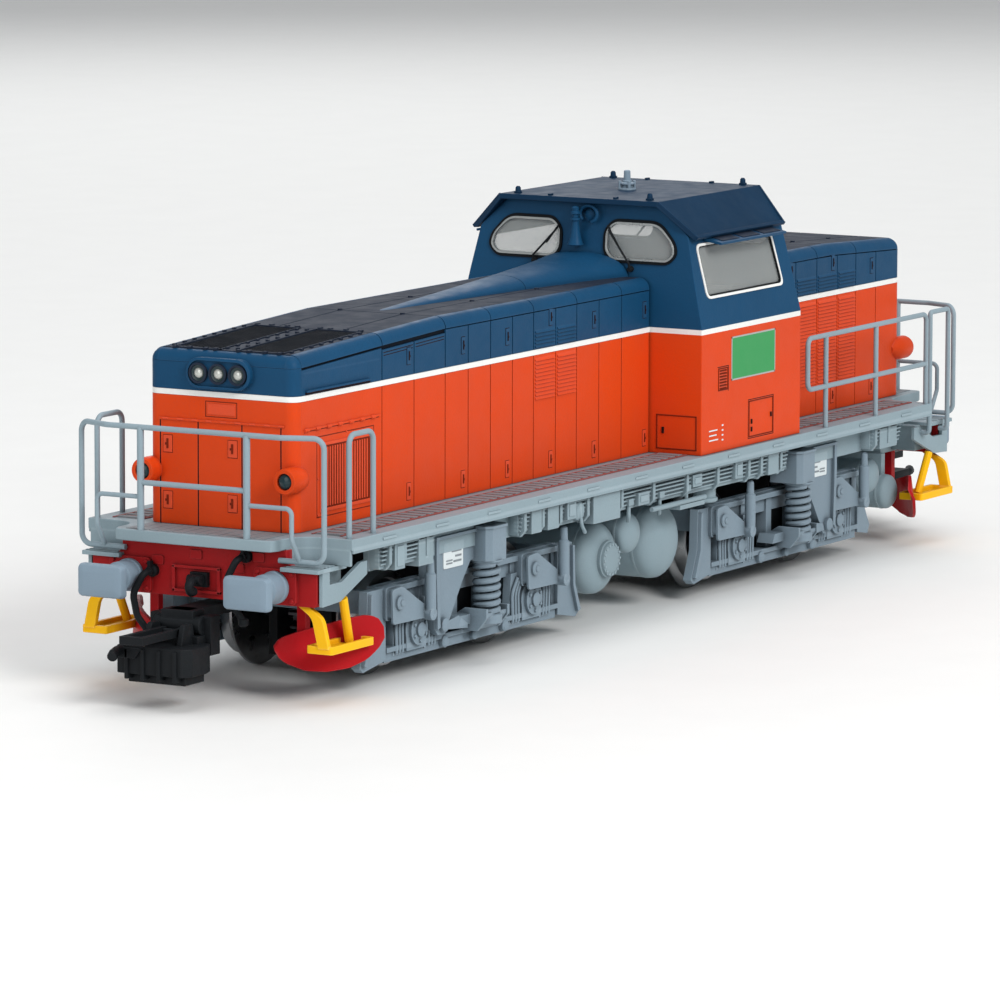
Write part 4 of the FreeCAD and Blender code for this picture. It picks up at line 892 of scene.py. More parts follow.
def rim(shape, outline_out, outline_in, near, far):
    """A flat rim between two outlines; near and far place a point at the rim's back and front."""
    shape.loft([[near(*spot) for spot in outline_in], [far(*spot) for spot in outline_in],
                [far(*spot) for spot in outline_out], [near(*spot) for spot in outline_out]], caps=False)
    outer = [shape.bm.verts.new(far(*spot)) for spot in outline_out]
    inner = [shape.bm.verts.new(far(*spot)) for spot in outline_in]
    for index in range(len(inner)):
        after = (index + 1) % len(inner)
        shape.face((outer[index], outer[after], inner[after], inner[index]))
    bmesh.ops.remove_doubles(shape.bm, verts=shape.bm.verts, dist=0.0005)


def end_windows(front, side, rubbers, silvers, panes):
    way = 1 if front else -1

    def on_end(out):
        return lambda y, z: (end_x(z, front) + way * out, side * y, z)

    rim(rubbers, end_window(0.42, 1.5), end_window(0.0, 1.2), on_end(0.0), on_end(0.2))
    rim(silvers, end_window(0.06, 1.2), end_window(-0.24, 1.0), on_end(-0.1), on_end(0.26))
    outline = end_window(-0.1, 0.9)
    panes.loft([[place(*spot) for spot in outline] for place in (on_end(-0.35), on_end(-0.1))])


def wiper(wipers, front, side):
    """An arm from below the window up across it, with its blade."""
    way = 1 if front else -1
    low, high = ((7.2, 43.5), (3.9, 47.6)) if side > 0 else ((-6.8, 43.9), (-3.7, 47.3))
    pivot_z = low[1] - 0.7
    foot = Vector((end_x(low[1], front) + way * 0.5, low[0], pivot_z))
    bend = Vector((end_x(low[1], front) + way * 0.75, *low))
    tip = Vector((end_x(high[1], front) + way * 0.55, *high))
    wipers.tube([foot, bend, tip], 0.14, 8)
    wall = end_x(low[1], front)
    wipers.turned("X", (low[0], pivot_z), [(wall - 0.1, 0.4), (wall + way * 0.6, 0.35)], 12)
    wipers.tube([tip + Vector((-way * 0.2, -side * 0.25, 0.55)),
                 tip * 0.45 + bend * 0.55 + Vector((-way * 0.3, -side * 0.25, 0.1))], 0.13, 8)


def side_windows(side, whites, rubbers, panes):
    def on_side(out):
        return lambda x, z: (x, side * (side_y(z) + out), z)

    rim(whites, side_window(0.28, 1.0), side_window(-0.05, 0.8), on_side(-0.05), on_side(0.14))
    rim(rubbers, side_window(-0.02, 0.8), side_window(-0.22, 0.7), on_side(-0.3), on_side(0.04))
    outline = side_window(-0.05, 0.8)
    panes.loft([[place(*spot) for spot in outline] for place in (on_side(-0.4), on_side(-0.2))])


def make_windows():
    rubbers, silvers, whites, panes, wipers = (Shape() for _ in range(5))
    for front in (True, False):
        for side in BOTH:
            end_windows(front, side, rubbers, silvers, panes)
            wiper(wipers, front, side)
    for side in BOTH:
        side_windows(side, whites, rubbers, panes)
    piece("window_rubbers", rubbers, rubber, bevel=0.05)
    piece("window_silver_rims", silvers, silver, bevel=0.04)
    piece("window_white_rims", whites, white, replaces=("window_frames",), bevel=0.04)
    piece("window_panes", panes, pane, replaces=("cab_windows",), bevel=0)
    piece("wiper_arms", wipers, black, replaces=("wipers",), bevel=0)


def bars_round(x0, x1, z0, z1, width):
    """The four bars along the edges of a rectangle, each as (x0, x1, z0, z1)."""
    return ((x0, x1, z0, z0 + width), (x0, x1, z1 - width, z1), (x0, x0 + width, z0, z1),
            (x1 - width, x1, z0, z1))


def make_cab_hatches():
    """Hatches and a small louvre on the side walls, a hatch on each end wall, and their catches."""
    hatches, dark = Shape(), Shape()
    line = 0.14
    for side in BOTH:
        skin = side * CAB_SKIN
        for x0, x1, z0, z1 in ((-27.4, -20.8, 20.6, 25.3), (-15.1, -12.5, 27.4, 30.3)):
            for a, b, low, high in bars_round(x0, x1, z0, z1, line):
                hatches.box(a, b, skin, side * 17.78, low, high)
        for index in range(7):
            z = 27.6 + index * 0.38
            hatches.prism("X", -14.7, -12.9, [(skin, z + 0.3), (skin, z), (side * 17.85, z)])
        for x0, x1, z0, z1 in ((-27.6, -20.6, 20.4, 20.5), (-27.6, -20.6, 25.4, 25.5),
                               (-27.6, -27.5, 20.4, 25.5),
                               (-20.7, -20.6, 20.4, 25.5), (-15.3, -12.3, 30.4, 30.5), (-15.3, -15.2, 27.2,
                                                                                        30.5)):
            dark.box(x0, x1, skin, side * 17.72, z0, z1)
        for x, z in ((-21.5, 21.6), (-21.5, 22.6), (-26.8, 23.0)):
            dark.box(x - 0.15, x + 0.15, skin, side * 17.83, z - 0.3, z + 0.3)
        for y0, y1, z0, z1 in bars_round(11.2, 17.0, 20.2, 24.6, line):
            hatches.box(CAB_FRONT - 0.1, CAB_FRONT + 0.08, side * y0, side * y1, z0, z1)
            hatches.box(CAB_REAR - 0.08, CAB_REAR + 0.1, side * y0, side * y1, z0, z1)
        dark.box(CAB_FRONT - 0.1, CAB_FRONT + 0.12, side * 12.0, side * 12.3, 22.2, 23.0)
    piece("cab_hatches", hatches, groove_orange, bevel=0.03)
    make_cab_marks()
    piece("cab_catches", dark, groove, bevel=0.02)


def make_cab_marks():
    """Generic dashes and dots low on the side wall."""
    marks = Shape()
    pitch, proud = 0.62, CAB_HALF + 0.04
    for side in BOTH:
        for row, width in enumerate((2.4, 2.0, 2.2)):
            z = row * pitch
            marks.box(-10.1 - width, -10.1, side * CAB_SKIN, side * proud, 21.2 + z, 21.36 + z)
        for row in range(4):
            z = row * pitch
            marks.box(-13.9, -13.5, side * CAB_SKIN, side * proud, 21.0 + z, 21.2 + z)
    piece("cab_small_marks", marks, plate_white, bevel=0)


def make_cab_sign():
    """Plain green field with a pale border on each side."""
    sign, border = Shape(), Shape()
    for side in BOTH:
        sign.box(-27.7, -16.2, side * CAB_SKIN, side * 17.76, 28.6, 33.8)
        for x0, x1, z0, z1 in bars_round(-27.9, -16.0, 28.4, 34.0, 0.2):
            border.box(x0, x1, side * CAB_SKIN, side * 17.74, z0, z1)
    piece("cab_side_panel", sign, panel_green, bevel=0.02)
    piece("cab_side_panel_border", border, panel_edge, bevel=0.0)


def make_cab():
    make_cab_shell()
    make_windows()
    make_cab_hatches()
    make_cab_sign()


def cab_roof_shell(roof):
    """A folded plate; its section is (y, z, how far the edge is cut back from the tip)."""
    half_section = ((11.3, 50.9, 0.0), (15.6, 46.95, 1.6), (16.2, 47.25, 1.7), (11.55, 51.6, 0.0))
    rings = []
    for tip, way in ((-7.5, -1), (-35.0, 1)):
        right = [(tip + way * back, y, z) for y, z, back in half_section]
        rings.append(right + [(x, -y, z) for x, y, z in reversed(right)])
    roof.loft(rings)


def cab_roof_gutters(gutter):
    """Lips along the eaves and up the sloping ends of the roof."""
    eave = ((15.55, 46.9), (16.25, 46.85), (16.5, 47.2), (16.1, 47.5))
    thick = 0.45
    for side in BOTH:
        gutter.loft([[(x, side * y, z) for y, z in eave] for x in (-9.15, -32.95)])
        for tip, low, way in ((-7.5, -9.15, 1), (-35.0, -32.95, -1)):
            ridge_end = ((0, 11.3, 51.0), (0, 11.6, 51.62), (thick, 11.6, 51.68), (thick, 11.3, 51.0))
            eave_end = ((0, 15.75, 46.9), (0, 16.35, 47.3), (thick, 16.35, 47.36), (thick, 15.75, 46.9))
            gutter.loft([[(x - way * back, side * y, z) for back, y, z in outline]
                         for x, outline in ((tip, ridge_end), (low, eave_end))])


def make_antenna():
    x = -20.4
    mast = Shape()
    mast.turned("Z", (x, 0),
                [(51.5, 1.15), (51.8, 1.15), (51.9, 0.7), (52.2, 0.7), (52.3, 1.0), (52.5, 1.0),
                              (52.6, 0.6), (52.8, 0.6), (52.85, 0.45), (54.0, 0.42), (54.1, 0.3)], 24)
    for index in range(4):
        turn = index * 1.571 + 0.78
        mast.turned("Z", (x + 0.95 * math.cos(turn), 0.95 * math.sin(turn)), [(51.5, 0.22), (52.75, 0.2)],
                    8)
    piece("antenna_mast", mast, buffer_grey, replaces=("roof_antenna",), bevel=0.04)


def make_sun_visors():
    """A plate over each side window with three fields on it."""
    inner, outer = (15.2, 46.95), (17.95, 46.3)
    slope = (outer[1] - inner[1]) / (outer[0] - inner[0])
    visor, fields = Shape(), Shape()
    for side in BOTH:
        visor.prism("X", -30.4, -12.7,
                    [(side * 15.35, 46.4), (side * 17.9, 46.0), (side * outer[0], outer[1]),
                                        (side * inner[0], inner[1])])
        for index in range(3):
            x = -29.6 + index * 5.6
            corners = ((x, 15.8), (x + 4.6, 15.8), (x + 4.6, 17.5), (x, 17.5))
            fields.loft([[(px, side * y, inner[1] + slope * (y - inner[0]) + up) for px, y in corners]
                         for up in (-0.05, 0.1)])
    piece("sun_visor_plates", visor, navy, replaces=("sun_visors",), bevel=0.06)
    piece("sun_visor_fields", fields, roof_grey, bevel=0.03)


def make_horn():
    """Trumpet pointing down in front of the cab, with its coiled pipe and bracket."""
    horn = Shape()
    profile = [(45.5, 0.95), (45.6, 1.05), (45.8, 0.95), (46.5, 0.72), (48.0, 0.48), (48.6, 0.42),
               (48.7, 0.62),
               (48.95, 0.62), (49.05, 0.4), (49.4, 0.4), (49.5, 0.6), (49.75, 0.6), (49.9, 0.42), (50.3,
                                                                                                   0.5),
               (50.5, 0.25)]
    horn.turned("Z", (-7.7, -0.45), profile, 28)
    turns = [math.pi * step / 24 - 1.2 for step in range(40)]
    horn.tube([Vector((-8.3, 1.1 + 1.25 * math.cos(t), 49.5 + 1.1 * math.sin(t))) for t in turns], 0.24, 10)
    horn.wire([(-9.3, -0.45, 49.8), (-7.7, -0.45, 49.8)], 0.35, 0.8, 10)
    horn.turned("X", (1.0, 49.3), [(-9.4, 0.8), (-8.8, 0.75), (-8.6, 0.4)], 18)
    piece("horn_trumpet", horn, navy, replaces=("horn",), bevel=0.0)


def make_cab_roof():
    roof, gutter, lugs = Shape(), Shape(), Shape()
    cab_roof_shell(roof)
    cab_roof_gutters(gutter)
    for x in (-9.0, -34.0):
        for y in (-9.6, 9.6):
            lugs.box(x - 0.42, x + 0.42, y - 0.38, y + 0.38, 51.5, 51.85)
            lugs.turned("Z", (x, y), [(51.8, 0.38), (52.3, 0.34), (52.5, 0.2)], 12)
    for x, y in ((-8.4, -4.5), (-8.4, 5.0), (-34.0, -4.5), (-34.0, 5.0)):
        lugs.box(x - 0.4, x + 0.4, y - 0.2, y + 0.2, 51.5, 51.85)
    # The cab roof, its gutters and lugs take the darker navy, which is painted shade.
    piece("cab_roof_shell", roof, roof_navy, replaces=("cab_roof",), bevel=0.12, angle=12)
    piece("cab_roof_gutters", gutter, roof_navy, bevel=0.08)
    piece("cab_roof_lugs", lugs, roof_navy, bevel=0.04)
    make_antenna()
    make_sun_visors()
    make_horn()


# ---------------------------------------------------------------- lamps

def dome_profile(start, depth, radius):
    """Profile of a lens that bulges from a start along the axis."""
    turns = (math.pi / 2 * step / 6 for step in range(6, -1, -1))
    return [(start + depth * math.cos(turn), radius * math.sin(turn)) for turn in turns]


def stadium(radius):
    return arc((2.6, HEADLAMP_Z), radius, -90, 90, 10) + arc((-2.6, HEADLAMP_Z), radius, 90, 270, 10)


def make_lamps():
    housing, lenses, bezels, wells, markers, marker_glass = (Shape() for _ in range(6))
    for end, x in HOOD_ENDS:

        def out(profile):
            return [(x + end * along, radius) for along, radius in profile]

        steps = out(((-0.2, 1.85), (0.75, 1.85), (0.85, 1.5), (0.55, 1.5)))
        housing.loft([[(px, y, z) for y, z in stadium(radius)] for px, radius in steps])
        for y in (-2.7, 0.0, 2.7):
            bezels.turned("X", (y, HEADLAMP_Z), out(((0.4, 1.22), (0.95, 1.22), (0.95, 1.0), (0.6, 0.95))),
                          24)
            wells.turned("X", (y, HEADLAMP_Z), out(((0.45, 0.98), (0.7, 0.98), (0.62, 0.6))), 24)
            lenses.turned("X", (y, HEADLAMP_Z), out(dome_profile(0.6, 0.3, 0.62)), 24)
        barrel = ((-2.6, 0.6), (-1.6, 1.3), (-0.6, 1.55), (1.6, 1.55), (1.95, 1.45), (1.95, 1.0),
                  (1.5, 0.95))
        for y in (-9.8, 9.8):
            markers.turned("X", (y, MARKER_Z), out(barrel), 32)
            marker_glass.turned("X", (y, MARKER_Z), out(dome_profile(1.5, 0.5, 1.0)), 24)
    piece("headlamp_shells", housing, navy, replaces=("headlamp_housings",), bevel=0.05)
    piece("headlamp_bezels", bezels, roof_grey, bevel=0.03)
    piece("headlamp_wells", wells, lens_dark, bevel=0)
    piece("headlamp_lenses", lenses, lens_clear, replaces=("lamp_lenses",), bevel=0)
    piece("marker_lamp_barrels", markers, orange, replaces=("marker_lamps",), bevel=0.05)
    piece("marker_lamp_glass", marker_glass, lens_dark, bevel=0)


# ---------------------------------------------------------------- underframe

def make_deck():
    """The deck plate with a rounded recess at each corner, and the recess walls down to the treads."""
    front_recess = arc((81.0, 14.1), 3.0, 270, 180, 6)
    rear_recess = arc((-75.3, 14.1), 3.0, 0, -90, 6)
    half = ([(84.0, 0), (84.0, 9.8), (83.7, 10.7), (82.6, 11.1)] + front_recess
            + [(78.0, 18.3), (-72.3, 18.3), (-72.3, 14.1)] + rear_recess
            + [(-82.6, 11.1), (-83.7, 10.7), (-84.0, 9.8), (-84.0, 0)])
    deck = Shape()
    deck.prism("Z", 18.25, DECK, half + [(x, -y) for x, y in reversed(half[1:-1])])
    for side in BOTH:
        wall = [(84.0, 11.1)] + front_recess + [(78.0, 18.0)]
        inner = [(x - 0.5, y - 0.5 if y < 17 else y) for x, y in wall]
        deck.prism("Z", 16.4, 18.4, [(x, side * y) for x, y in wall[1:] + inner[:0:-1]])
        wall = rear_recess + [(-82.0, 11.1)]
        inner = [(x + 0.5, y - 0.5) for x, y in wall]
        deck.prism("Z", 16.4, 18.4, [(x, side * y) for x, y in wall + inner[::-1]])
    piece("deck_plate", deck, chassis_grey, replaces=("main_frame",), bevel=0.14, segments=3)


def make_sill_frames():
    """Edge angle and the long side members with pipes, brackets and ribs."""
    frames = Shape()
    spans = ((57.6, 69.5), (-32.5, 36.8), (-65.0, -56.9))
    brackets = (67.8, 64.4, 59.2, 36.0, 31.6, 27.2, 20.4, 11.8, 3.6, -5.2, -13.4, -21.8, -25.2, -30.6,
                -57.6, -61.4)
    for side in BOTH:
        frames.box(-72.2, 77.8, side * 17.7, side * 18.32, 17.9, 18.6)
        frames.box(-64.5, 69.5, side * 14.6, side * 15.4, 14.6, 18.3)
        for x0, x1 in spans:
            frames.box(x0, x1, side * 15.3, side * 16.75, 14.9, 18.2)
            for index in range(5):
                z, out = 17.45 - index * 0.52, 17.4 - index * 0.09
                frames.prism("X", x0 + 0.05, x1 - 0.05,
                             [(side * 16.2, z + 0.3), (side * 16.2, z), (side * out, z),
                                                         (side * out, z + 0.22)])
        for x in brackets:
            frames.prism("X", x, x + 0.6, [(side * 15.2, 14.7), (side * 16.9, 14.7), (side * 17.55, 15.5),
                                           (side * 17.55, 18.1), (side * 15.2, 18.1)])
        for index in range(12):
            x = -66.0 + index * 12.2
            frames.box(x, x + 3.0, side * 18.2, side * 18.42, 18.75, 19.05)
    piece("sill_frames", frames, chassis_grey, bevel=0.05)


def sill_side(boxes, side):
    """Boxes, a filter pot, valves and pipes along one sill; boxes are (x0, x1, z0, z1, outer face)."""
    plain = ((13.0, 19.8, 14.3, 18.1, 17.75), (28.2, 30.9, 14.9, 17.9, 17.6),
             (32.4, 34.9, 14.9, 17.9, 17.6),
             (-29.6, -26.8, 15.0, 17.9, 17.5), (58.0, 61.4, 14.3, 17.9, 17.4), (-63.6, -58.6, 14.8, 17.9,
                                                                                17.4))
    lidded = ((24.2, 26.4, 15.6, 17.9, 17.8), (5.4, 8.2, 15.2, 16.8, 17.7), (-8.6, -6.2, 15.8, 17.4, 17.6),
              (-19.4, -17.4, 15.6, 17.8, 17.7), (64.9, 67.2, 14.6, 17.8, 17.6))
    pot = [(12.7, 1.4), (12.9, 1.7), (13.3, 1.7), (13.4, 1.45), (15.6, 1.45), (15.8, 1.2)]
    for x0, x1, z0, z1, out in plain:
        boxes.box(x0, x1, side * 15.3, side * out, z0, z1)
    boxes.turned("Z", (-15.3, side * 14.3), pot, 24)
    boxes.turned("Y", (22.6, 16.3), [(side * 15.4, 1.2), (side * 17.3, 1.2), (side * 17.5, 0.9)], 20)
    boxes.wire([(22.6, side * 17.2, 17.2), (22.6, side * 17.6, 14.6), (21.0, side * 17.2, 13.4)], 0.25, 1.0,
               8)
    for x0, x1, z0, z1, out in lidded:
        boxes.box(x0, x1, side * 15.3, side * out, z0, z1)
        boxes.box(x0 + 0.4, x1 - 0.4, side * (out - 0.1), side * (out + 0.12), z0 + 0.4, z1 - 0.4)
    for x in (9.0, 1.0, -6.0):
        boxes.box(x, x + 1.2, side * 15.4, side * 17.45, 15.4, 16.25)
        pipe = [(x + 0.6, side * 17.0, 16.0), (x + 0.6, side * 17.0, 14.0), (x - 0.8, side * 16.2, 13.2)]
        boxes.wire(pipe, 0.28, 0.8, 8)
    boxes.wire([(-10.0, side * 17.2, 14.2), (4.0, side * 17.2, 14.2)], 0.35, sides=10)
    boxes.box(-9.5, -3.0, side * 15.6, side * 17.5, 13.3, 13.9)


def make_sill_boxes():
    boxes = Shape()
    for side in BOTH:
        sill_side(boxes, side)
    # centre body that carries motor and tanks
    boxes.box(-12.5, 17.5, -9.4, 9.4, 13.2, 18.5)
    # blocks behind the beams, with the pins the couplers swing on
    for end in BOTH:
        boxes.box(end * 71.5, end * 79.55, -11.0, 11.0, 12.3, 18.4)
        boxes.box(end * 74.5, end * 79.5, -14.6, 14.6, 12.6, 16.0)
        boxes.turned("Z", (end * 74.0, 0), [(9.6, 1.0), (12.4, 1.0)], 20)
    piece("sill_boxes", boxes, chassis_grey, replaces=("equipment_boxes",), bevel=0.08)


def make_walkways():
    """Walkway treads beside the hoods and across both end platforms."""
    cells, lines = Shape(), Shape()
    y0, y1 = 11.7, 15.9
    for side in BOTH:
        for x1, x0 in ((NOSE - 1.0, CAB_FRONT + 0.3), (CAB_REAR - 0.3, -71.0)):
            cells.box(x0, x1, side * y0, side * y1, DECK - 0.05, DECK + 0.03)
            for y in (y0, y1 - 0.32):
                lines.box(x0, x1, side * y, side * (y + 0.32), DECK - 0.02, DECK + 0.12)
            count = int((x1 - x0) / 1.85)
            pitch = (x1 - x0) / count
            for index in range(count):
                x = x0 + index * pitch
                lines.box(x, x + 0.3, side * (y0 + 0.2), side * (y1 - 0.2), DECK - 0.03, DECK + 0.13)
                cells.box(x + 0.5, x + 1.55, side * (y0 + 0.5), side * (y1 - 0.5), DECK - 0.04, DECK + 0.18)
    for x0, x1 in ((78.0, 83.3), (-83.3, -79.3)):
        for index in range(12):
            y = -9.6 + index * 1.6
            cells.box(x0, x1, y + 0.08, y + 1.5, DECK - 0.02, DECK + 0.07)
    piece("walkway_lines", lines, tread_red, bevel=0)
    piece("walkway_cells", cells, deck_grey, bevel=0.04)


def make_underframe():
    make_deck()
    make_sill_frames()
    make_sill_boxes()
    make_walkways()


# ---------------------------------------------------------------- ends

def make_beams():
    beam = Shape()
    outline = [(15.1, 11.8), (15.5, 12.2), (15.5, 16.1), (12.2, 16.2), (11.3, 16.9), (11.3, 18.25)]
    beam.prism("X", 79.6, 81.3, outline + [(-y, z) for y, z in reversed(outline)])
    for y in (-10, 10):
        beam.prism("X", 81.2, 81.75, rounded_rectangle(y - 2.9, y + 2.9, 11.9, 16.1, 0.6))
        for dy in (-2.3, 2.3):
            for dz in (-1.6, 1.6):
                beam.bolt("X", (y + dy, 14.0 + dz), 81.7, 82.0, 0.32)
    for y0, y1, z0, z1 in ((-4.2, 2.4, 12.4, 12.75), (-4.2, 2.4, 15.2, 15.55), (-4.2, -3.8, 12.4, 15.5),
                           (2.0, 2.4, 12.4, 15.5)):
        beam.box(81.2, 81.7, y0, y1, z0, z1)
    for y, z in ((-6.3, 15.9), (4.8, 15.7), (-1.0, 16.9), (7.6, 17.2)):
        beam.prism("X", 81.2, 81.5, rounded_rectangle(y - 0.8, y + 0.8, z - 0.55, z + 0.55, 0.2))
    beam.mirror("X")
    piece("beam_plates", beam, red, replaces=("buffer_beams",), bevel=0.1)


def make_hooks():
    hooks = Shape()
    y = -0.4
    hooks.box(81.0, 82.0, -1.5, 0.8, 13.2, 14.9)
    hooks.wire([(81.2, y, 14.1), (83.2, y, 14.1), (84.0, y, 13.6), (83.6, y, 12.7), (82.9, y, 12.8)], 0.55,
               0.7)
    hooks.turned("Y", (82.6, 14.1), [(-1.3, 0.6), (0.5, 0.6)], 16)
    hooks.mirror("X")
    piece("hook_drawings", hooks, black, replaces=("draw_hooks",), bevel=0.06)


def make_hoses():
    hoses = Shape()
    for y, top in ((-6.9, 14.6), (6.0, 17.2)):
        hoses.turned("X", (y, top), [(81.2, 0.75), (81.9, 0.75), (82.1, 0.5), (82.6, 0.5)], 14)
        hoses.box(81.8, 82.5, y - 0.2, y + 0.2, top + 0.3, top + 1.2)
        hose = [(82.2, y, top), (83.4, y - 0.2, top - 0.2), (83.9, y - 1.3, top - 2.6),
                (83.5, y - 1.0, top - 5.2),
                (82.7, y + 0.3, top - 7.4)]
        hoses.wire(hose, 0.42, 2.2, 12)
        mouth = [(top - 8.1, 0.35), (top - 7.9, 0.62), (top - 7.2, 0.62), (top - 7.1, 0.4)]
        hoses.turned("Z", (82.7, y + 0.3), mouth, 12)
    hoses.mirror("X")
    piece("hose_mouldings", hoses, black, replaces=("brake_hoses",), bevel=0)


def make_buffers():
    heads, shanks = Shape(), Shape()
    wide, high = 3.1, 1.95
    shank = [(81.7, 1.95), (82.2, 1.95), (82.4, 1.8), (84.4, 1.8), (84.6, 1.6), (87.0, 1.55)]
    for y in (-10, 10):
        rings = []
        for x, grow in ((87.0, -0.35), (87.2, 0.0), (87.9, 0.0), (88.3, -0.15), (88.5, -0.9)):
            rings.append([(x, y + py * (wide + grow) / wide, BUFFER_Z + pz * (high + grow) / high)
                          for py, pz in rounded_rectangle(-wide, wide, -high, high, 0.5)])
        heads.loft(rings)
        shanks.turned("X", (y, BUFFER_Z), shank, 32)
    heads.mirror("X")
    shanks.mirror("X")
    piece("buffer_heads", heads, buffer_grey, replaces=("buffers",), bevel=0.08)
    piece("buffer_shanks", shanks, buffer_grey, bevel=0.06)


def make_ends():
    make_beams()
    make_hooks()
    make_hoses()
    make_buffers()


def make_grey_steps():
    treads = Shape()
    frame_line = [(71.2, 14.6), (77.3, 12.1), (81.2, 11.9), (81.2, 16.4), (79.6, 16.4), (79.6, 14.4),
                  (76.9, 14.4),
                  (72.6, 16.2), (71.2, 16.2)]
    treads.prism("Y", 15.7, 16.2, frame_line)
    treads.box(76.0, 82.4, 11.1, 16.3, 15.9, 16.4)
    for index in range(5):
        treads.box(78.3 + index * 0.8, 78.7 + index * 0.8, 11.6, 16.1, 16.35, 16.5)
    treads.mirror("Y").mirror("X")
    piece("corner_step_plates", treads, chassis_grey, replaces=("corner_steps",), bevel=0.06)


def make_foot_steps():
    """Yellow foot steps: a tray with raised rim, a curved front strap and a slanted rear leg."""
    steps = Shape()
    tray = rounded_rectangle(71.4, 81.0, 13.8, 17.3, 0.35)
    well = rounded_rectangle(71.9, 80.5, 14.3, 16.8, 0.25)
    steps.loft([[(x, y, z) for x, y in outline]
                for z, outline in ((6.35, tray), (7.3, tray), (7.3, well), (6.75, well))])
    strap = rounded_path([Vector((80.6, 13.4, 11.8)), Vector((80.9, 15.4, 10.6)),
                          Vector((80.8, 16.2, 7.0))], 1.6)
    section = ((-0.35, -0.75, 0), (0.35, -0.75, 0), (0.35, 0.75, 0), (-0.35, 0.75, 0))
    steps.loft([[spot + Vector(shift) for shift in section] for spot in strap])
    steps.wire([(74.0, 15.4, 7.0), (76.2, 15.9, 12.4)], 0.55, sides=10)
    steps.mirror("Y").mirror("X")
    piece("foot_steps", steps, yellow, replaces=("shunter_steps",), bevel=0.08)


# plough blade: (share of its length, lower edge, upper edge)
PLOUGH_EDGES = ((0.0, 5.9, 6.3), (0.04, 5.1, 7.0), (0.1, 4.5, 7.5), (0.3, 3.6, 8.3), (0.5, 3.4, 8.9),
                (0.7, 3.7, 9.5), (0.85, 4.5, 9.7), (0.95, 5.7, 9.3), (1.0, 6.9, 8.1))


def plough_limits(t):
    """Lower and upper edge of the plough blade at a share of its length."""
    for (t0, low0, high0), (t1, low1, high1) in zip(PLOUGH_EDGES, PLOUGH_EDGES[1:]):
        if t <= t1:
            share = (t - t0) / (t1 - t0)
            return low0 + (low1 - low0) * share, high0 + (high1 - high0) * share
    return PLOUGH_EDGES[-1][1:]


def make_ploughs():
    """Blades curved in plan, with rounded ends, each on a bracket."""
    blades = Shape()
    start, middle, stop = Vector((78.6, 8.0)), Vector((77.2, 13.8)), Vector((69.0, 17.2))
    lean = Vector((0.6, 0.5))
    count, rows = 24, 6
    grid = []
    for index in range(count + 1):
        t = index / count
        spot = start * (1 - t) ** 2 + middle * 2 * t * (1 - t) + stop * t ** 2
        low, high = plough_limits(t)
        column = []
        for row in range(rows + 1):
            share = row / rows
            out = (0.5 - share) * 0.9
            column.append((spot.x + lean.x * out, spot.y + lean.y * out, low + (high - low) * share))
        grid.append(column)
    back = [[(x - 0.3, y - 0.3, z) for x, y, z in column] for column in grid]
    blades.loft([column + back_column[::-1] for column, back_column in zip(grid, back)])
    blades.box(75.2, 76.2, 9.6, 10.8, 7.0, 12.5)
    blades.mirror("Y").mirror("X")
    piece("plough_blades", blades, plough_red, replaces=("snow_ploughs",), bevel=0.04)


def make_corner_steps():
    make_grey_steps()
    make_foot_steps()
    make_ploughs()


def tank_flange(shape, bolts, spot, half, side):
    """Bolted cover on one end of a tank."""
    x, z = spot
    profile = ((-1.0, 2.35), (0.15, 2.35), (0.2, 2.15), (0.55, 2.1), (0.6, 1.9))
    shape.turned("Y", spot, [(side * (half + out), radius) for out, radius in profile], 36)
    for turn in range(16):
        angle = 2 * math.pi * turn / 16
        bolts.bolt("Y", (x + 1.9 * math.cos(angle), z + 1.9 * math.sin(angle)),
                   side * (half + 0.5), side * (half + 0.72), 0.2)


def make_tanks():
    """Tanks lying across, as (x, z, radius, half length); the first has bolted covers."""
    shape, bolts = Shape(), Shape()
    tanks = ((9.4, 8.4, 4.55, 14.0), (2.8, 10.8, 2.5, 14.3), (-6.2, 8.7, 4.8, 14.3),
             (-65.0, 10.2, 2.3, 13.6),
             (-71.3, 7.3, 2.3, 13.2))
    for index, (x, z, radius, half) in enumerate(tanks):
        dome = radius * 0.5
        turns = [math.pi / 2 * step / 8 for step in range(9)]
        profile = [(half - dome + dome * math.cos(turn), radius * math.sin(turn)) for turn in turns]
        shape.turned("Y", (x, z), profile + [(-along, r) for along, r in reversed(profile)], 40)
        low, high = radius - 0.1, radius + 0.06
        for y in (half - dome - 0.6, -(half - dome - 0.6)):
            shape.turned("Y", (x, z),
                         [(y - 0.15, low), (y - 0.15, high), (y + 0.15, high), (y + 0.15, low)], 40)
        shape.box(x - 0.5, x + 0.5, -11.5, 11.5, z + radius - 0.6, 13.6 if index < 3 else 12.4)
        if index == 0:
            for side in BOTH:
                tank_flange(shape, bolts, (x, z), half, side)
    piece("tank_shells", shape, chassis_grey, replaces=("air_tanks",), bevel=0.03)
    piece("tank_flange_bolts", bolts, chassis_grey, bevel=0)


# ---------------------------------------------------------------- bogies

# A bogie's side frame is drawn about its pivot, on +Y; outward is +1 or -1, towards the nearer end of the model.

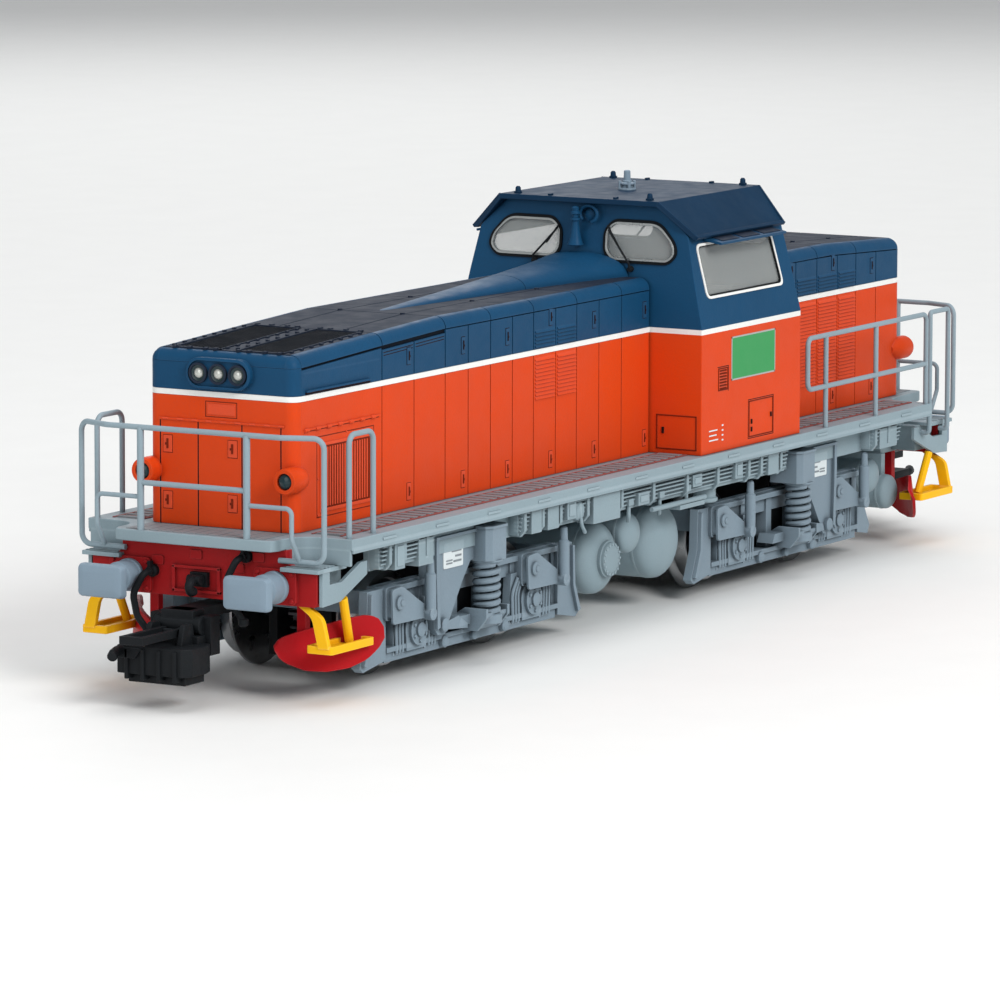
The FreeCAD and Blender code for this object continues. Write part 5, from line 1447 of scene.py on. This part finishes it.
def bogie_bars(shape):
    """Upper and lower beam, posts between them, and rivet heads."""
    for y0, y1, x, z0, z1 in ((12.0, 13.2, 21.6, 9.2, 11.9), (13.0, 14.0, 21.6, 11.0, 11.7),
                              (12.0, 13.8, 20.5, 2.75, 4.5), (13.7, 14.2, 20.5, 3.95, 4.55)):
        shape.prism("Y", y0, y1, [(-x, z0), (x, z0), (x, z1), (-x, z1)])
    for x in (-20.7, -10.6, -3.6, 3.6, 10.6, 20.7):
        shape.prism("Y", 12.0, 13.5, [(x - 0.7, 3.4), (x + 0.7, 3.4), (x + 0.7, 11.0), (x - 0.7, 11.0)])
    for x in (-7.2, 0.0, 7.2):
        shape.turned("Y", (x, 3.6), [(13.4, 0.75), (14.4, 0.75), (14.6, 0.5)], 16)


def bogie_guards(shape, outward):
    """Guard plates past the frame's ends; the inner one is a tall post, the rear bogie's outer one is short."""
    for end in BOTH:
        inner_end = end != outward
        if inner_end or outward > 0:
            far = 1.3 if inner_end else 2.0
            plate = [(20.6, 11.8), (22.8 + far, 11.8), (23.0 + far, 6.6), (24.6 + far, 2.9),
                     (23.8 + far, 2.3),
                     (20.6, 3.1)]
            edge = [(22.3 + far, 11.4), (22.7 + far, 11.4), (22.9 + far, 6.6), (24.3 + far, 3.2),
                    (23.7 + far, 3.0),
                    (22.4 + far, 6.4)]
            shape.prism("Y", 12.9, 14.1, [(end * x, z) for x, z in plate])
            shape.prism("Y", 14.0, 14.6, [(end * x, z) for x, z in edge])
        else:
            stub = [(21.0, 3.4), (24.0, 2.9), (24.6, 4.0), (22.6, 7.4), (21.0, 8.0)]
            shape.prism("Y", 13.2, 13.9, [(end * x, z) for x, z in stub])


def spring_box(shape, outward):
    """Box over the spring with its chamfered corners, and the wide leg beside it."""
    block = [(-2.4, 13.0), (-2.4, 16.9), (-1.8, 17.6), (1.4, 17.6), (2.0, 16.9), (2.0, 13.0)]
    cap = [(-2.6, 12.9), (-2.6, 17.0), (-1.9, 17.75), (1.5, 17.75), (2.2, 17.0), (2.2, 12.9)]
    leg = [(0.0, 16.8), (11.4, 16.8), (11.4, 12.4), (11.1, 5.7), (10.3, 4.8), (8.6, 4.8), (7.9, 5.9),
           (4.6, 10.6),
           (2.6, 12.9), (0.0, 12.9)]
    flange = [(11.45, 16.7), (11.45, 12.3), (11.15, 5.6), (10.5, 5.8), (10.8, 12.3), (10.8, 16.7)]
    top = [(1.9, 16.75), (11.5, 16.75), (11.5, 16.35), (1.9, 16.35)]
    foot = [(8.8, 5.3), (3.4, 4.8), (3.4, 5.4), (5.6, 6.6), (8.4, 6.2)]
    for axis, start, end, outline in (("Z", 12.75, 16.9, block), ("Z", 16.7, 17.05, cap),
                                      ("Y", 13.1, 15.2, leg),
                                      ("Y", 15.1, 15.7, flange), ("Y", 15.1, 15.75, top)):
        shape.prism(axis, start, end, [(outward * x, other) for x, other in outline])
    shape.turned("Y", (outward * 9.4, 6.0), [(15.1, 0.85), (15.75, 0.85), (15.9, 0.6)], 16)
    shape.prism("Y", 14.6, 15.3, [(outward * x, z) for x, z in foot])
    shape.turned("Z", (0, SPRING_Y), [(12.2, 1.5), (12.6, 1.95), (12.8, 1.95)], 28)


def coil_spring(shape):
    turns, radius, steps = 6.2, 1.35, 124
    path = []
    for step in range(steps + 1):
        t = step / steps
        angle = 2 * math.pi * turns * t
        path.append(Vector((radius * math.cos(angle), SPRING_Y + radius * math.sin(angle), 6.4 + 5.9 * t)))
    shape.tube(path, 0.42, 8)
    shape.turned("Z", (0, SPRING_Y), [(6.0, 0.8), (12.8, 0.8)], 16)


def spring_seat(shape):
    """Open trough below the spring."""
    trough = [(12.8, 4.5), (16.1, 4.5), (17.3, 6.05), (17.3, 6.5), (16.9, 6.5), (15.9, 5.2), (12.8, 5.2)]
    cheek = [(12.7, 4.35), (16.2, 4.35), (17.5, 5.95), (17.5, 7.1), (14.4, 7.1), (12.7, 6.0)]
    shape.prism("X", -2.4, 2.4, trough)
    for x in (-2.75, 2.3):
        shape.prism("X", x, x + 0.45, cheek)
    shape.turned("Z", (0, SPRING_Y), [(5.1, 1.9), (6.1, 1.9), (6.3, 1.6)], 28)
    shape.prism("Y", 12.8, 15.2, [(-5.6, 5.2), (-2.4, 5.2), (-2.4, 6.4), (-5.0, 6.4)])
    shape.prism("Y", 12.8, 15.2, [(2.4, 5.2), (5.6, 5.2), (5.0, 6.4), (2.4, 6.4)])


def axle_box(shape, x):
    """Round cover with bolts, bent bars on both sides and the guides behind it."""
    cover = arc((x, 6.1), 2.5, -20, 200, 14) + [(x - 2.3, 3.6), (x + 2.3, 3.6)]
    shape.prism("Y", 12.6, 14.3, cover)
    shape.prism("Y", 14.1, 14.75, arc((x, 6.0), 1.9, 0, 360, 23)[:-1])
    shape.turned("Y", (x, 6.0), [(14.6, 0.9), (15.05, 0.9), (15.15, 0.7)], 18)
    for turn in range(6):
        angle = math.pi / 3 * turn + 0.5
        shape.bolt("Y", (x + 1.4 * math.cos(angle), 6.0 + 1.4 * math.sin(angle)), 14.7, 14.98, 0.28)
    for offset in (3.0, 3.7, 4.4):
        for way in BOTH:
            curve = [Vector((x + way * offset, 14.1, 3.6)), Vector((x + way * (offset + 0.15), 14.1, 7.2)),
                     Vector((x + way * (offset - 1.2), 14.1, 9.0))]
            shape.tube(rounded_path(curve, 2.0), 0.24, 8)
    shape.prism("Y", 12.8, 13.9, [(x - 4.9, 3.3), (x - 2.4, 3.3), (x - 2.4, 9.6), (x - 4.4, 9.6)])
    shape.prism("Y", 12.8, 13.9, [(x + 2.4, 3.3), (x + 4.9, 3.3), (x + 4.4, 9.6), (x + 2.4, 9.6)])


def damper(shape, arm_at, foot_at):
    """An arm from its bearing on the frame down to the upright damper."""
    shape.prism("Y", 12.8, 14.6, rounded_rectangle(arm_at - 2.4, arm_at + 1.6, 7.9, 11.9, 0.5))
    shape.prism("Y", 14.4, 15.2, rounded_rectangle(arm_at - 2.1, arm_at + 1.3, 8.2, 11.6, 0.4))
    shape.turned("Y", (arm_at, 10.0), [(15.2, 0.85), (15.75, 0.85), (15.9, 0.65)], 20)
    shape.bolt("Y", (arm_at, 10.0), 15.8, 16.1, 0.45)
    arm = [(arm_at + 1.5, 11.7), (arm_at - 0.8, 11.9), (foot_at - 0.5, 8.5), (foot_at - 0.4, 7.4),
           (arm_at + 1.3, 7.5)]
    shape.prism("Y", 15.1, 15.45, rounded_polygon(arm, 0.5))
    shape.turned("Y", (foot_at, 7.9), [(14.8, 0.8), (16.4, 0.8)], 14)
    rod = [(7.5, 0.5), (8.0, 0.7), (8.6, 0.7), (12.6, 0.7), (12.8, 0.5), (14.3, 0.45), (14.5, 0.25)]
    shape.turned("Z", (foot_at, SPRING_Y), rod, 16)


def data_plate(data, marks, outward):
    """Small plate on the wide leg with generic dashes."""
    def span(near, far):
        return min(outward * near, outward * far), max(outward * near, outward * far)

    data.prism("Y", 15.15, 15.32, rounded_rectangle(*span(4.6, 9.2), 12.6, 15.7, 0.25))
    for row in range(2):
        marks.box(*span(7.2, 8.6), 15.3, 15.38, 13.1 + row * 0.35, 13.25 + row * 0.35)
    for row, width in enumerate((0.7, 2.2, 1.4, 1.8)):
        z = 15.2 - row * 0.62
        marks.box(*span(5.1, 5.1 + width), 15.3, 15.38, z - 0.13, z + 0.09)


def bogie_side(shape, outward):
    bogie_bars(shape)
    bogie_guards(shape, outward)
    spring_box(shape, outward)
    coil_spring(shape)
    spring_seat(shape)
    for x in (-HALF_WHEELBASE, HALF_WHEELBASE):
        axle_box(shape, x)
    # the dampers point the same way on both bogies
    for arm_at, foot_at in ((19.8, 13.3), (-12.4, -18.9)):
        damper(shape, arm_at, foot_at)


def make_wheels(name, centre, outward):
    profile = [(7.2, 1.0), (7.2, 6.6), (7.3, 6.95), (7.6, 7.02), (7.9, 6.7), (8.1, 6.0), (9.7, 5.85),
               (9.9, 5.7),
               (9.9, 4.9), (9.4, 4.7), (9.1, 3.0), (9.4, 2.0), (9.9, 1.8), (9.9, 1.0)]
    for where, along in (("outer", outward), ("inner", -outward)):
        wheels = Shape()
        for way in BOTH:
            wheels.turned("Y", (centre + HALF_WHEELBASE * along, AXLE_Z),
                          [(way * y, r) for y, r in profile], 48)
        piece(f"wheel_discs_{name}_{where}", wheels, steel, f"wheelset_{name}_{where}",
              (f"wheels_{name}_{where}",), 0.0)


def make_bogies():
    # The black sheet behind each side frame is painted shade: it makes the openings of the frame read dark.
    shade_sheet_line = [(-20.0, 4.2), (20.0, 4.2), (20.0, 9.5), (12.0, 9.9), (-12.0, 9.9), (-20.0, 9.5)]
    for name, centre, outward in BOGIES:
        body = f"bogie_{name}"
        side, marks, data, shade_sheets, across = (Shape() for _ in range(5))
        bogie_side(side, outward)
        data_plate(data, marks, outward)
        shade_sheets.prism("Y", 11.2, 11.7, shade_sheet_line)
        for shape in (side, marks, data, shade_sheets):
            shape.mirror("Y").move(centre, 0, 0)
        for end in BOTH:
            across.box(centre + end * 20.9, centre + end * 22.0, -12.1, 12.1, 8.6, 11.4)
        # black sheet of painted shade behind the side frames
        piece(f"bogie_shade_sheets_{name}", shade_sheets, black, body, bevel=0.08)
        piece(f"bogie_sides_{name}", side, bogie_grey, body, (f"bogie_frame_{name}",), 0.06)
        piece(f"bogie_links_{name}", across, bogie_grey, body, bevel=0.08)
        piece(f"bogie_data_plates_{name}", data, plate_white, body, bevel=0.03)
        piece(f"bogie_data_marks_{name}", marks, deck_grey, body, bevel=0)
        make_wheels(name, centre, outward)


# ---------------------------------------------------------------- couplers

def coupler_bar(bar):
    """Drawbar and head of the front coupler, its pivot at x = 74."""
    bar.turned("Z", (74.0, 0), [(9.8, 2.2), (11.4, 2.2)], 24)
    bar.box(74.0, 87.0, -1.6, 1.6, 9.8, 11.2)
    bar.box(84.6, 87.2, -2.2, 2.2, 5.0, 11.2)
    head = [(86.6, -4.2), (86.6, 4.2), (88.4, 4.8), (91.4, 4.8), (92.6, 4.0), (92.6, -4.8), (88.4, -4.8)]
    bar.prism("Z", 4.2, 7.5, head)
    bar.prism("Z", 3.1, 4.4, [(87.4, -3.9), (87.4, 3.9), (91.6, 3.9), (91.6, -3.9)])
    bar.prism("X", 88.2, 92.9, [(-4.6, 7.3), (-1.2, 7.3), (-2.2, 6.0), (-4.6, 6.0)])
    bar.wire([(90.0, -4.0, 6.7), (93.4, -4.2, 6.9), (95.8, -3.2, 6.9), (96.4, -3.0, 6.6)], 0.62, 1.2)
    for y in (-2.6, 1.9):
        bar.prism("Y", y, y + 0.7,
                  rounded_polygon([(87.2, 7.2), (90.4, 7.2), (89.6, 9.9), (87.8, 9.9)], 0.5))
    for y in (-3.4, -1.2, 1.0, 3.2):
        bar.box(91.2, 92.9, y - 0.25, y + 0.25, 3.6, 7.2)
    bar.box(85.0, 88.0, -3.4, 3.4, 6.8, 8.4)
    bar.turned("Y", (86.4, 9.4), [(-3.2, 1.1), (3.2, 1.1)], 20)
    bar.box(84.4, 86.4, -4.2, -2.6, 6.0, 10.6)
    bar.box(84.4, 86.4, 2.6, 4.2, 6.0, 10.6)


def make_couplers():
    half_turn = Matrix.Rotation(math.pi, 3, "Z")
    for name in ("front", "rear"):
        bar = Shape()
        coupler_bar(bar)
        if name == "rear":
            bmesh.ops.rotate(bar.bm, verts=bar.bm.verts, cent=(0, 0, 0), matrix=half_turn)
        piece(f"coupler_head_{name}", bar, black, f"drawbar_{name}", (f"coupler_{name}",), 0.12)


# ---------------------------------------------------------------- CAD nodes kept, repainted

def recolour(node, material):
    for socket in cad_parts[node].material_slots:
        socket.material = material


def repaint():
    kept = {
        rail_grey: ("end_railings", "side_railings", "step_handrails"),
        black: ("coupler_loop_front", "coupler_loop_rear", "gearbox_front", "gearbox_rear"),
        dark_steel: ("fixing_screws", "motor"),
        steel: ("motor_shaft", "cardan_front", "cardan_rear"),
        brass: ("flywheels", "worm_front", "worm_rear"),
        board_green: ("circuit_board",),
        interior_grey: ("cab_interior",),
    }
    for material, names in kept.items():
        for node in names:
            recolour(node, material)
    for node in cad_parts:
        if node.startswith(("worm_wheel_", "idler_gear_")):
            recolour(node, gear_plastic)
        if node.startswith("axle_"):
            recolour(node, dark_steel)


make_stage()
make_hoods()
make_hood_tops()
make_cab()
make_cab_roof()
make_lamps()
make_underframe()
make_ends()
make_corner_steps()
make_tanks()
make_bogies()
make_couplers()
repaint()
